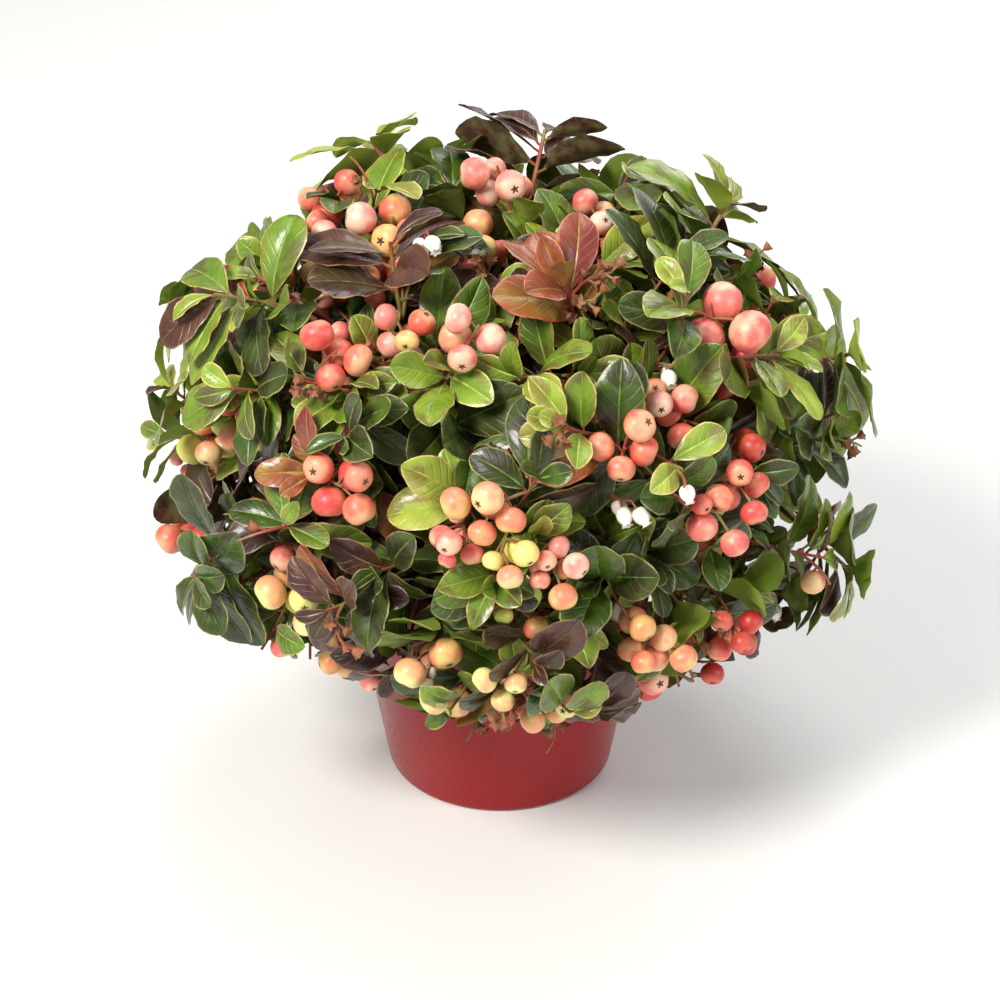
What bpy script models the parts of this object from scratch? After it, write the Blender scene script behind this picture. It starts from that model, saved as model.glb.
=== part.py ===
"""A berrying evergreen shrublet in its round plastic pot, modelled at its real size.

One pot filled with peat carries one short woody stem. Tapering boughs rise from the
stem's knuckle, and each carries one mass of foliage: a stem, the shoots that fork from
it, a whorl of leaves at the end of each shoot, and berries that hang under the whorls.
Metres, +Z up, origin at the centre of the pot's flat underside.
"""

import math
import random

import bmesh
import bpy
from mathutils import Matrix, Vector
from mathutils.bvhtree import BVHTree

# Pot
POT_HEIGHT = 0.100
RIM_RADIUS = 0.060
RIM_DEPTH = 0.0105
RIM_STEP = 0.0022
FOOT_RADIUS = 0.0425
POT_WALL = 0.0013
FLOOR_THICKNESS = 0.0015
DRAIN_RING = 0.0290
DRAIN_HOLES = 8
DRAIN_HOLE_RADIUS = 0.0040
POT_STEPS = 36

# Peat
PEAT_TOP = 0.090
GAP = 0.0003
PEAT_STEPS = 24

# Short woody stem that stands on the peat
STEM_FLARE_RADIUS = 0.0120
KNUCKLE_RADIUS = 0.0085
STEM_NECK_SHARE = 0.55
STEM_CROWN_SHARE = 0.93
KNUCKLE_HEIGHT = 0.1035
STEM_LEAN = (0.0012, -0.0008)
ROOT_LOBES = 5
ROOT_LOBE_SHARE = 0.14
STEM_SIDES = 15
STEM_RINGS = 7

# Crown outline: a full dome with a skirt that hangs past the rim, lowest at the right front
HEART_HEIGHT = 0.130
CROWN_RADIUS = 0.127
CROWN_RISE = 0.111
CROWN_DROP = 0.074
CROWN_FULLNESS = 2.3
CROWN_LOBES = ((2, 0.7, 0.030), (5, 2.0, 0.025))
DROOP_AZIMUTH = math.radians(-52)
DROOP_SHARE = 0.16

# Masses of foliage, ring by ring: name, count, elevation and bough's elevation at the knuckle
MASS_RINGS = (
    ("skirt", 7, math.radians(-4), math.radians(16)),
    ("shoulder", 4, math.radians(42), math.radians(50)),
    ("top", 1, math.radians(90), math.radians(90)),
)
MASS_START_SHARE = 0.40
MASS_MIDDLE_SHARE = 0.70
MASS_MARGIN = 0.0004

# Boughs
BOUGH_BASE_RADIUS = 0.0019
BOUGH_TIP_RADIUS = 0.0013
BOUGH_POINTS = 5
BOUGH_BEND_SHARE = 0.5

# Shoots. Ranges are (least, most), and each shoot draws its own value.
SHOOTS = 72
LOWEST_SHOOT = math.radians(-36)
SHOOT_RISE_JITTER = 0.07
SHOOT_TURN_JITTER = 0.12
GOLDEN_ANGLE = math.pi * (3 - math.sqrt(5))
MASS_STEM_LENGTH = 0.014
MASS_STEM_RADII = (0.0018, 0.0014)
SHOOT_RADII = (0.0013, 0.0010)
SHOOT_DEPTH = (0.018, 0.030)
SHOOT_MIN_LENGTH = 0.012
SHOOT_ROOTS = (0.55, 0.92)
LIMB_CLEARANCE = 0.0006

# Leaves
WHORL_LEAVES = 6
WHORL_STEP = 0.0013
WHORL_FIRST_STEP = 0.8
WHORL_OPENING = (math.radians(48), math.radians(68))
LOWER_LEAVES = 3
LOWER_FIRST_TURN = 0.8
LOWER_OPENING = (math.radians(66), math.radians(88))
LOWER_PLACES = (0.30, 0.55)
FACE_OUTWARD = 0.6
FACE_UPWARD = 0.5
LEAF_LENGTH = (0.029, 0.039)
LEAF_WIDTH_SHARE = 0.56
LEAF_THICKNESS = 0.0009
LEAF_SHOULDERS = (0.38, 0.77)
LEAF_SHOULDER_WIDTHS = (0.0, 0.96, 0.92, 0.0)
LEAF_ARCH = (0.10, 0.28)
LEAF_ROOT = 0.0003
LOWER_LEAF_SHARE = 0.92
LEAF_STALK_SHARE = 0.10
# Where a leaf finds no room it is tried again: (turned by, opened by, share of its length)
LEAF_TRIES = (
    (0.0, 0.0, 1.0), (0.4, 0.1, 1.0), (-0.4, -0.1, 0.95), (0.8, 0.2, 0.92), (-0.8, -0.2, 0.90),
    (0.2, 0.35, 0.88), (1.3, 0.0, 0.85), (-1.3, 0.25, 0.82), (0.0, -0.35, 0.78), (2.2, 0.3, 0.75),
)
RIM_CLEARANCE = 0.0014

# Berries
BERRY_RADIUS = (0.0046, 0.0072)
BERRY_SHARE_OF_SHOOTS = 0.66
BERRIES_IN_CLUSTER = (1, 3)
BERRY_SPACING = 1.5
BERRY_FAN = 1.15
BERRY_FAN_JITTER = 0.2
BERRY_OUTWARD = 0.9
BERRY_SAG = 0.55
PEDICEL_LENGTH = 0.0040
PEDICEL_RADIUS = 0.0007
PEDICEL_END = 0.6
BERRY_CORNER_SHARE = 1.12

SEED = 417
WELD = 3e-7

HEART = Vector((0.0, 0.0, HEART_HEIGHT))
KNUCKLE = Vector((STEM_LEAN[0], STEM_LEAN[1], KNUCKLE_HEIGHT))
UP = Vector((0.0, 0.0, 1.0))


def clear_scene():
    for obj in list(bpy.data.objects):
        bpy.data.objects.remove(obj, do_unlink=True)


def new_collection(name):
    collection = bpy.data.collections.new(name)
    bpy.context.scene.collection.children.link(collection)
    return collection


def finish(name, color, roughness, metallic=0.0):
    """A Principled material with one colour."""
    material = bpy.data.materials.new(name)
    material.use_nodes = True
    shader = material.node_tree.nodes["Principled BSDF"]
    shader.inputs["Base Color"].default_value = (*color, 1.0)
    shader.inputs["Roughness"].default_value = roughness
    shader.inputs["Metallic"].default_value = metallic
    material.diffuse_color = (*color, 1.0)
    return material


def object_of(name, mesh, material, collection):
    obj = bpy.data.objects.new(name, mesh)
    collection.objects.link(obj)
    if not mesh.materials:
        mesh.materials.append(material)
    return obj


def mesh_from(bm, name):
    mesh = bpy.data.meshes.new(name)
    bm.to_mesh(mesh)
    bm.free()
    return mesh


def profile_object(name, profile, steps, material, collection):
    """Turns an (r, z) profile round Z with a Screw modifier. The profile ends run to the axis."""
    bm = bmesh.new()
    points = [bm.verts.new((r, 0.0, z)) for r, z in profile]
    for a, b in zip(points, points[1:]):
        bm.edges.new((a, b))
    obj = object_of(name, mesh_from(bm, name), material, collection)
    screw = obj.modifiers.new("Turn", "SCREW")
    screw.steps = steps
    screw.render_steps = steps
    screw.use_merge_vertices = True
    screw.merge_threshold = 0.00005
    return obj


def wall_radius(z):
    """Outer radius of the pot's tapered wall at height z."""
    share = z / (POT_HEIGHT - RIM_DEPTH)
    return FOOT_RADIUS + share * (RIM_RADIUS - RIM_STEP - FOOT_RADIUS)


def make_pot(material, parts, cutters):
    """Thin tapered pot with a rolled rim band, a flat underside and a ring of drain holes."""
    edge = 0.0008
    under_rim = POT_HEIGHT - RIM_DEPTH
    profile = [
        (0.0, FLOOR_THICKNESS),
        (wall_radius(FLOOR_THICKNESS) - POT_WALL, FLOOR_THICKNESS),
        (wall_radius(under_rim) - POT_WALL, under_rim),
        (RIM_RADIUS - POT_WALL, POT_HEIGHT - edge),
        (RIM_RADIUS - POT_WALL / 2, POT_HEIGHT),
        (RIM_RADIUS, POT_HEIGHT - edge),
        (RIM_RADIUS - edge, under_rim),
        (wall_radius(under_rim), under_rim - edge),
        (wall_radius(2 * edge), 2 * edge),
        (FOOT_RADIUS - edge, 0.0),
        (0.0, 0.0),
    ]
    pot = profile_object("pot", profile, POT_STEPS, material, parts)

    bm = bmesh.new()
    for i in range(DRAIN_HOLES):
        angle = 2 * math.pi * (i + 0.5) / DRAIN_HOLES
        place = Vector((DRAIN_RING * math.cos(angle), DRAIN_RING * math.sin(angle), 0.0))
        bmesh.ops.create_cone(
            bm, cap_ends=True, segments=8, radius1=DRAIN_HOLE_RADIUS,
            radius2=DRAIN_HOLE_RADIUS, depth=4 * FLOOR_THICKNESS, matrix=Matrix.Translation(place),
        )
    holes = object_of("drain_hole_cutter", mesh_from(bm, "drain_hole_cutter"), material, cutters)
    holes.hide_render = True
    holes.display_type = "WIRE"
    cut = pot.modifiers.new("Drain holes", "BOOLEAN")
    cut.operation = "DIFFERENCE"
    cut.object = holes
    return pot


def make_peat(material, parts):
    """The peat that fills the pot, 0.3 mm clear of its wall."""
    bottom = FLOOR_THICKNESS + GAP
    clear = POT_WALL + 2 * GAP
    bm = bmesh.new()
    bmesh.ops.create_cone(
        bm, cap_ends=True, segments=PEAT_STEPS,
        radius1=wall_radius(bottom) - clear, radius2=wall_radius(PEAT_TOP) - clear - RIM_STEP / 4,
        depth=PEAT_TOP - bottom, matrix=Matrix.Translation((0.0, 0.0, (PEAT_TOP + bottom) / 2)),
    )
    return object_of("peat", mesh_from(bm, "peat"), material, parts)


def stem_radius(z, angle):
    """Radius of the woody stem: root flare at the peat, a neck, and a round knuckle on top."""
    foot = PEAT_TOP + GAP
    neck = KNUCKLE_HEIGHT - STEM_NECK_SHARE * KNUCKLE_RADIUS
    if z > neck:
        across = KNUCKLE_RADIUS**2 - (z - KNUCKLE_HEIGHT) ** 2
        return math.sqrt(max(across, 0.0))
    rise = (z - foot) / (neck - foot)
    flare = (1 - rise) ** 2
    top = math.sqrt(KNUCKLE_RADIUS**2 - (neck - KNUCKLE_HEIGHT) ** 2)
    radius = top + flare * (STEM_FLARE_RADIUS - top)
    return radius * (1 + ROOT_LOBE_SHARE * flare * math.cos(ROOT_LOBES * angle))


def make_main_stem(material, parts):
    """A cylinder of rings, shaped by stem_radius. Its foot is a flat cut on the peat."""
    foot = PEAT_TOP + GAP
    top = KNUCKLE_HEIGHT + STEM_CROWN_SHARE * KNUCKLE_RADIUS
    bm = bmesh.new()
    bmesh.ops.create_cone(bm, cap_ends=True, segments=STEM_SIDES, radius1=1.0, radius2=1.0, depth=1.0)
    upright = [e for e in bm.edges if abs(e.verts[0].co.z - e.verts[1].co.z) > 0.5]
    bmesh.ops.subdivide_edges(bm, edges=upright, cuts=STEM_RINGS - 1)
    for vert in bm.verts:
        angle = math.atan2(vert.co.y, vert.co.x)
        share = vert.co.z + 0.5
        z = foot + share * (top - foot)
        radius = stem_radius(z, angle)
        lean = min(1.0, (z - foot) / (KNUCKLE_HEIGHT - foot))
        vert.co = (
            radius * math.cos(angle) + lean * STEM_LEAN[0],
            radius * math.sin(angle) + lean * STEM_LEAN[1],
            z,
        )
    stem = object_of("main_stem", mesh_from(bm, "main_stem"), material, parts)
    stem.data.shade_smooth()
    stem.data.set_sharp_from_angle(angle=math.radians(50))
    return stem


def heading(azimuth, elevation):
    return Vector(
        (
            math.cos(azimuth) * math.cos(elevation),
            math.sin(azimuth) * math.cos(elevation),
            math.sin(elevation),
        )
    )


def crown_reach(direction):
    """Distance from the crown's heart to its outline in a direction."""
    azimuth = math.atan2(direction.y, direction.x)
    lobes = sum(share * math.cos(count * azimuth + phase) for count, phase, share in CROWN_LOBES)
    droop = DROOP_SHARE * math.cos(azimuth - DROOP_AZIMUTH)
    across = math.hypot(direction.x, direction.y) / (CROWN_RADIUS * (1 + lobes))
    height = CROWN_RISE if direction.z > 0 else CROWN_DROP * (1 + droop)
    along = abs(direction.z) / height
    return (across**CROWN_FULLNESS + along**CROWN_FULLNESS) ** (-1 / CROWN_FULLNESS)


def in_crown(point):
    arm = point - HEART
    return arm.length <= crown_reach(arm.normalized())


def clear_of_pot(point):
    """True outside the pot. Foliage stays above the rim's plane or outside the rim's cylinder."""
    beyond_rim = math.hypot(point.x, point.y) > RIM_RADIUS + RIM_CLEARANCE
    return beyond_rim or point.z > POT_HEIGHT + RIM_CLEARANCE


def mass_directions():
    """Name, direction and bough's first direction of every mass, ring by ring."""
    plans = []
    for ring, count, elevation, bough_elevation in MASS_RINGS:
        for i in range(count):
            azimuth = 2 * math.pi * (i + 0.5 * (ring == "shoulder")) / count
            name = ring if count == 1 else f"{ring}_{i + 1:02d}"
            plans.append((name, heading(azimuth, elevation), heading(azimuth, bough_elevation)))
    return plans


class Space:
    """The room of one mass: what lies nearer to its middle than to any other mass's middle."""

    def __init__(self, middle, others):
        self.walls = []
        for other in others:
            normal = (other - middle).normalized()
            self.walls.append((normal, normal.dot((middle + other) / 2) - MASS_MARGIN))

    def holds(self, point):
        return all(normal.dot(point) <= limit for normal, limit in self.walls)


class Limb:
    """A tapering limb as points and radii, for making its solid and for keeping clear of it."""

    def __init__(self, points, radii):
        self.points = points
        self.radii = radii

    def clears(self, point):
        for a, b, radius in zip(self.points, self.points[1:], self.radii):
            along = b - a
            share = max(0.0, min(1.0, (point - a).dot(along) / along.length_squared))
            if (a + share * along - point).length < radius + LIMB_CLEARANCE:
                return False
        return True


def bough_of(direction, first):
    """The bough from the knuckle to the foot of a mass, as one smooth bend."""
    start = KNUCKLE + first * (KNUCKLE_RADIUS + GAP)
    end = HEART + direction * (MASS_START_SHARE * crown_reach(direction))
    bend = start + first * (BOUGH_BEND_SHARE * (end - start).length)
    points, radii = [], []
    for i in range(BOUGH_POINTS):
        t = i / (BOUGH_POINTS - 1)
        points.append((1 - t) ** 2 * start + 2 * t * (1 - t) * bend + t * t * end)
        radii.append(BOUGH_BASE_RADIUS + t * (BOUGH_TIP_RADIUS - BOUGH_BASE_RADIUS))
    return Limb(points, radii)


def make_bough(name, limb, material, parts):
    curve = bpy.data.curves.new(name, "CURVE")
    curve.dimensions = "3D"
    curve.bevel_depth = 1.0
    curve.bevel_resolution = 1
    curve.use_fill_caps = True
    spline = curve.splines.new("POLY")
    spline.points.add(len(limb.points) - 1)
    for spot, place, radius in zip(spline.points, limb.points, limb.radii):
        spot.co = (*place, 1.0)
        spot.radius = radius
    curve.materials.append(material)
    bough = bpy.data.objects.new(name, curve)
    parts.objects.link(bough)
    return bough


def twig_mesh(start, end, radii):
    """A three-sided tapering twig."""
    along = end - start
    turn = along.to_track_quat("Z", "Y").to_matrix().to_4x4()
    place = Matrix.Translation((start + end) / 2) @ turn
    bm = bmesh.new()
    bmesh.ops.create_cone(
        bm, cap_ends=True, segments=3, radius1=radii[0], radius2=radii[1],
        depth=along.length, matrix=place,
    )
    return bm


def leaf_mesh(root, direction, face, length, arch, root_share=0.0):
    """A leaf of ten triangles: a six-sided cone pressed flat, with its point as a low keel below.

    The six corners are the root, two on each side and the tip, which bends down. A root share
    above zero leaves out that much of the stalk.
    """
    across = direction.cross(face).normalized()
    half_width = LEAF_WIDTH_SHARE * length / 2
    bm = bmesh.new()
    bmesh.ops.create_cone(
        bm, cap_ends=True, segments=6, radius1=1.0, radius2=0.0, depth=1.0,
        matrix=Matrix.Rotation(math.radians(30), 4, "Z"),
    )
    corners = {}
    for vert in bm.verts:
        if vert.co.z > 0:
            along, side, under = 0.5, 0.0, LEAF_THICKNESS
            lift = (leaf_lift(LEAF_SHOULDERS[0]) + leaf_lift(LEAF_SHOULDERS[1])) / 2
        else:
            along, side, under = vert.co.x, vert.co.y, 0.0
            place = round(1.5 * along + 1.5)
            along = (root_share, *LEAF_SHOULDERS, 1.0)[place]
            side = math.copysign(LEAF_SHOULDER_WIDTHS[place], side)
            lift = leaf_lift(along)
            corners.setdefault(place, []).append(vert)
        vert.co = (
            root
            + direction * (along * length)
            + across * (side * half_width)
            + face * (arch * length * lift - under)
        )
    for place in (1, 2):
        bmesh.ops.connect_vert_pair(bm, verts=corners[place])
    bmesh.ops.recalc_face_normals(bm, faces=bm.faces)
    return bm


def leaf_lift(along):
    """The blade's rise above the straight line of its stalk, as a share of the arch."""
    return along * (1.5 - 1.9 * along)


def berry_mesh(center, radius):
    """A berry of twenty faces, a little over its radius so that it keeps a round berry's volume."""
    bm = bmesh.new()
    bmesh.ops.create_icosphere(
        bm, subdivisions=1, radius=BERRY_CORNER_SHARE * radius, matrix=Matrix.Translation(center)
    )
    return bm


def samples_of(bm):
    """The vertices and the middles of the edges and faces, for the tests of room."""
    points = [v.co.copy() for v in bm.verts]
    points += [(e.verts[0].co + e.verts[1].co) / 2 for e in bm.edges]
    points += [f.calc_center_median() for f in bm.faces]
    return points


class Mass:
    """One mass of foliage: collects its pieces, and refuses those that leave its space."""

    def __init__(self, name, space, limbs):
        self.name = name
        self.space = space
        self.limbs = limbs
        self.pieces = []
        self.taken = []
        self.leaves = 0
        self.berries = 0

    def has_room(self, bm):
        return all(
            self.space.holds(p)
            and in_crown(p)
            and clear_of_pot(p)
            and all(limb.clears(p) for limb in self.limbs)
            for p in samples_of(bm)
        )

    def meets_others(self, bm, shoot=None):
        """True if the piece runs into another one that isn't the twig it grows from."""
        tree = BVHTree.FromBMesh(bm)
        return any(tree.overlap(other) for owner, other in self.taken if owner != shoot)

    def block(self, bm, owner=None):
        self.taken.append((owner, BVHTree.FromBMesh(bm)))

    def add(self, bm, kind):
        bmesh.ops.triangulate(bm, faces=bm.faces)
        self.pieces.append((kind, mesh_from(bm, self.name)))


def shoot_tips():
    """Tips of all shoots, spread evenly over the crown by a golden-angle spiral."""
    rng = random.Random(SEED)
    low = math.sin(LOWEST_SHOOT)
    for i in range(SHOOTS):
        rise = low + (1 - low) * (i + 0.5) / SHOOTS
        elevation = math.asin(rise) + rng.uniform(-SHOOT_RISE_JITTER, SHOOT_RISE_JITTER)
        azimuth = i * GOLDEN_ANGLE + rng.uniform(-SHOOT_TURN_JITTER, SHOOT_TURN_JITTER)
        direction = heading(azimuth, elevation)
        yield i, HEART + direction * (crown_reach(direction) - rng.uniform(*SHOOT_DEPTH))


def grow_leaves(mass, rng, shoot, start, tip, outward):
    """A whorl at the shoot's tip and a few leaves below it. Each tries a few turns to find room."""
    axis = (tip - start).normalized()
    side = axis.orthogonal().normalized()
    phase = rng.uniform(0, 2 * math.pi)
    for i in range(WHORL_LEAVES + LOWER_LEAVES):
        if i < WHORL_LEAVES:
            turn = phase + 2 * math.pi * i / WHORL_LEAVES
            opening = rng.uniform(*WHORL_OPENING)
            place = tip - axis * (WHORL_STEP * (i + WHORL_FIRST_STEP))
            length = rng.uniform(*LEAF_LENGTH)
        else:
            turn = phase + LOWER_FIRST_TURN + i * GOLDEN_ANGLE
            opening = rng.uniform(*LOWER_OPENING)
            place = tip.lerp(start, rng.uniform(*LOWER_PLACES))
            length = LOWER_LEAF_SHARE * rng.uniform(*LEAF_LENGTH)
        arch = rng.uniform(*LEAF_ARCH)
        for more_turn, more_opening, shrink in LEAF_TRIES:
            spoke = Matrix.Rotation(turn + more_turn, 3, axis) @ side
            lean = opening + more_opening
            direction = axis * math.cos(lean) + spoke * math.sin(lean)
            face = axis + FACE_OUTWARD * outward + FACE_UPWARD * UP
            face = (face - direction * face.dot(direction)).normalized()
            root = place - direction * LEAF_ROOT
            shape = (root, direction, face, length * shrink, arch)
            leaf = leaf_mesh(*shape)
            blade = leaf_mesh(*shape, LEAF_STALK_SHARE)
            fits = mass.has_room(leaf) and not mass.meets_others(blade, shoot)
            if fits:
                mass.block(blade)
                mass.add(leaf, "leaf")
                mass.leaves += 1
            else:
                leaf.free()
            blade.free()
            if fits:
                break


def grow_berries(mass, rng, shoot, start, tip, outward):
    """A small cluster that hangs below the whorl on short stalks."""
    bears = rng.random() < BERRY_SHARE_OF_SHOOTS
    count = rng.randint(*BERRIES_IN_CLUSTER)
    axis = (tip - start).normalized()
    across = axis.cross(UP)
    across = across.normalized() if across.length > 0.1 else Vector((1.0, 0.0, 0.0))
    for i in range(count if bears else 0):
        radius = rng.uniform(*BERRY_RADIUS)
        fan = BERRY_FAN * (i - (count - 1) / 2) + rng.uniform(-BERRY_FAN_JITTER, BERRY_FAN_JITTER)
        away = (BERRY_OUTWARD * outward - BERRY_SAG * UP + fan * across).normalized()
        anchor = tip - axis * (WHORL_STEP * (WHORL_LEAVES + BERRY_SPACING * i))
        center = anchor + away * (PEDICEL_LENGTH + radius)
        berry = berry_mesh(center, radius)
        stalk = twig_mesh(
            anchor - away * PEDICEL_RADIUS, center - away * (PEDICEL_END * radius),
            (PEDICEL_RADIUS, PEDICEL_RADIUS),
        )
        if mass.has_room(berry) and not mass.meets_others(berry):
            mass.block(berry)
            mass.block(stalk, shoot)
            mass.add(berry, "berry")
            mass.add(stalk, "twig")
            mass.berries += 1
        else:
            berry.free()
            stalk.free()


def grow_mass(mass, bough, tips):
    """The mass's stem, which goes on where its bough ends, then each shoot with what it bears."""
    onward = (bough.points[-1] - bough.points[-2]).normalized()
    start = bough.points[-1] + onward * GAP
    end = start + onward * MASS_STEM_LENGTH
    mass.add(twig_mesh(start, end, MASS_STEM_RADII), "twig")
    shoots = []
    for index, tip in tips:
        rng = random.Random(SEED * 1000 + index)
        root = start.lerp(end, rng.uniform(*SHOOT_ROOTS))
        if (tip - root).length < SHOOT_MIN_LENGTH:
            continue
        twig = twig_mesh(root, tip, SHOOT_RADII)
        if not mass.has_room(twig):
            twig.free()
            continue
        mass.block(twig, index)
        mass.add(twig, "twig")
        shoots.append((rng, index, root, tip, (tip - HEART).normalized()))
    for shoot in shoots:
        grow_berries(mass, *shoot)
    for shoot in shoots:
        grow_leaves(mass, *shoot)


def largest_body(mesh):
    """Keeps the largest closed body of a fused mesh, without sealed hollows or loose scraps."""
    bm = bmesh.new()
    bm.from_mesh(mesh)
    left = set(bm.faces)
    bodies = []
    while left:
        body = [left.pop()]
        for face in body:
            for edge in face.edges:
                for near in edge.link_faces:
                    if near in left:
                        left.discard(near)
                        body.append(near)
        bodies.append(body)
    bodies.sort(key=len)
    scraps = [face for body in bodies[:-1] for face in body]
    bmesh.ops.delete(bm, geom=scraps, context="FACES")
    bmesh.ops.triangulate(bm, faces=bm.faces)
    bm.to_mesh(mesh)
    bm.free()


def faults_of(mesh):
    """Places where a mesh is open or touches itself, once its nearest vertices are welded."""
    bm = bmesh.new()
    bm.from_mesh(mesh)
    bmesh.ops.remove_doubles(bm, verts=bm.verts, dist=WELD)
    faults = [edge.verts[0].co.copy() for edge in bm.edges if len(edge.link_faces) != 2]
    bm.free()
    return faults


def union(name, pieces, solver, materials, parts):
    """One Boolean union of a first piece with the collection of all the others."""
    others = new_collection(name + "_pieces")
    body = object_of(name, pieces[0][1].copy(), materials[pieces[0][0]], parts)
    for kind, mesh in pieces[1:]:
        object_of("piece", mesh.copy(), materials[kind], others)
    join = body.modifiers.new("Join", "BOOLEAN")
    join.operation = "UNION"
    join.operand_type = "COLLECTION"
    join.collection = others
    join.solver = solver
    join.material_mode = "TRANSFER"
    bpy.context.view_layer.update()
    graph = bpy.context.evaluated_depsgraph_get()
    mesh = bpy.data.meshes.new_from_object(body.evaluated_get(graph))
    body.modifiers.clear()
    body.data = mesh
    for obj in list(others.objects):
        bpy.data.objects.remove(obj, do_unlink=True)
    bpy.data.collections.remove(others)
    largest_body(mesh)
    return body


def distance_to(mesh, point):
    corners = [vert.co for vert in mesh.vertices]
    tree = BVHTree.FromPolygons(corners, [face.vertices for face in mesh.polygons])
    return tree.find_nearest(point)[3]


def fuse(mass, materials, parts):
    """Joins the pieces of a mass. Where both solvers leave a fault, the leaf that lies there goes."""
    while True:
        for solver in ("EXACT", "MANIFOLD"):
            body = union(mass.name, mass.pieces, solver, materials, parts)
            faults = faults_of(body.data)
            if not faults:
                return body
            bpy.data.objects.remove(body, do_unlink=True)
        leaves = [piece for piece in mass.pieces if piece[0] == "leaf"]
        mass.pieces.remove(min(leaves, key=lambda piece: distance_to(piece[1], faults[0])))
        mass.leaves -= 1


def main():
    clear_scene()
    parts = new_collection("wintergreen_in_pot")
    cutters = new_collection("cutters")

    pot_red = finish("pot_red", (0.42, 0.03, 0.04), 0.30)
    peat_brown = finish("peat_brown", (0.045, 0.028, 0.018), 0.95)
    bark = finish("bark", (0.20, 0.085, 0.045), 0.70)
    leaf_tints = (
        finish("leaf_green", (0.10, 0.26, 0.04), 0.35),
        finish("leaf_deep_green", (0.035, 0.12, 0.03), 0.30),
        finish("leaf_bronze", (0.12, 0.06, 0.045), 0.38),
    )
    berry_coral = finish("berry_coral", (0.80, 0.20, 0.16), 0.32)

    make_pot(pot_red, parts, cutters)
    make_peat(peat_brown, parts)
    make_main_stem(bark, parts)

    plans = mass_directions()
    middles = [HEART + d * (MASS_MIDDLE_SHARE * crown_reach(d)) for _, d, _ in plans]
    limbs = [bough_of(direction, first) for _, direction, first in plans]
    tips = [[] for _ in plans]
    for index, tip in shoot_tips():
        nearest = min(range(len(plans)), key=lambda k: (middles[k] - tip).length)
        tips[nearest].append((index, tip))

    for k, (name, _, _) in enumerate(plans):
        make_bough("bough_" + name, limbs[k], bark, parts)
        others = middles[:k] + middles[k + 1 :]
        mass = Mass("foliage_" + name, Space(middles[k], others), limbs)
        grow_mass(mass, limbs[k], tips[k])
        tint = leaf_tints[(2 * k) % 5 % 3]
        fuse(mass, {"twig": bark, "leaf": tint, "berry": berry_coral}, parts)
        print(mass.name, mass.leaves, "leaves", mass.berries, "berries")


main()
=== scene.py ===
"""Looks of a berrying evergreen shrublet in its round plastic pot.

The crown grows by the rule of its solids. A bough carries each mass, shoots fork from the
mass's stem, and a golden-angle spiral spaces their tips. Here finer side shoots fill in
between them, with small leaves, berries on stalks and a few bell flowers.
Metres, +Z up, origin at the centre of the pot's flat underside.
"""

import logging
import math
import random
from dataclasses import dataclass, field
from enum import Enum, IntEnum
from functools import cache, cached_property
from typing import Iterator, Sequence

import bmesh
import bpy
import numpy as np
from mathutils import Matrix, Vector, noise
from mathutils.bvhtree import BVHTree


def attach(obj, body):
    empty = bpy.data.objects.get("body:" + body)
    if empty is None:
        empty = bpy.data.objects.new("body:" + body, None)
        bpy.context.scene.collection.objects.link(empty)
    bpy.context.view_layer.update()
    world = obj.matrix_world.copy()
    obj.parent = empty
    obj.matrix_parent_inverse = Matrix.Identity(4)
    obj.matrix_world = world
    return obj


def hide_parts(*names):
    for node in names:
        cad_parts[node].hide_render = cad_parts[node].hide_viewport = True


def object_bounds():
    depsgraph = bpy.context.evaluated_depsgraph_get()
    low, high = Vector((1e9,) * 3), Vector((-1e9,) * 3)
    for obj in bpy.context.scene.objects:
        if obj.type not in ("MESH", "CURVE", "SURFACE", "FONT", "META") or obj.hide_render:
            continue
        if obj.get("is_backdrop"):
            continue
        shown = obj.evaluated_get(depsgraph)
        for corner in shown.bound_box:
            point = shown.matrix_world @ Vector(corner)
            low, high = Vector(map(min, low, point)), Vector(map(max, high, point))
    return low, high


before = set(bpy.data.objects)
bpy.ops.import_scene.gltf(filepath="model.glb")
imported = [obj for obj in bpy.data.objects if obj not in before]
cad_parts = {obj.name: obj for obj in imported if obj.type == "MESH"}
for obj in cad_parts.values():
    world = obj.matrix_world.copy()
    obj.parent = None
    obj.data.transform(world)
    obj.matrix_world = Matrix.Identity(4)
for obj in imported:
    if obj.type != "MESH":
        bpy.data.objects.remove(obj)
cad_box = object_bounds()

Pair = tuple[float, float]
Triple = tuple[float, float, float]
Color = Triple
Face = tuple[int, ...]
Number = "Field | float"

log = logging.getLogger("wintergreen")

BODY = "root"
SEED = 417
MAIN_DRAWS, FINE_DRAWS, SPRAY_DRAWS = SEED * 1000, SEED * 2000, SEED * 3000
SKIN_MAP = "skin"
BAKE_MAP = "OFBake"
TURN = 2 * math.pi
GOLDEN_ANGLE = math.pi * (3 - math.sqrt(5))
UP = Vector((0.0, 0.0, 1.0))
MIX_FACTOR, MIX_FIRST, MIX_SECOND, MIX_RESULT = 0, 6, 7, 2


# Shader kit


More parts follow.
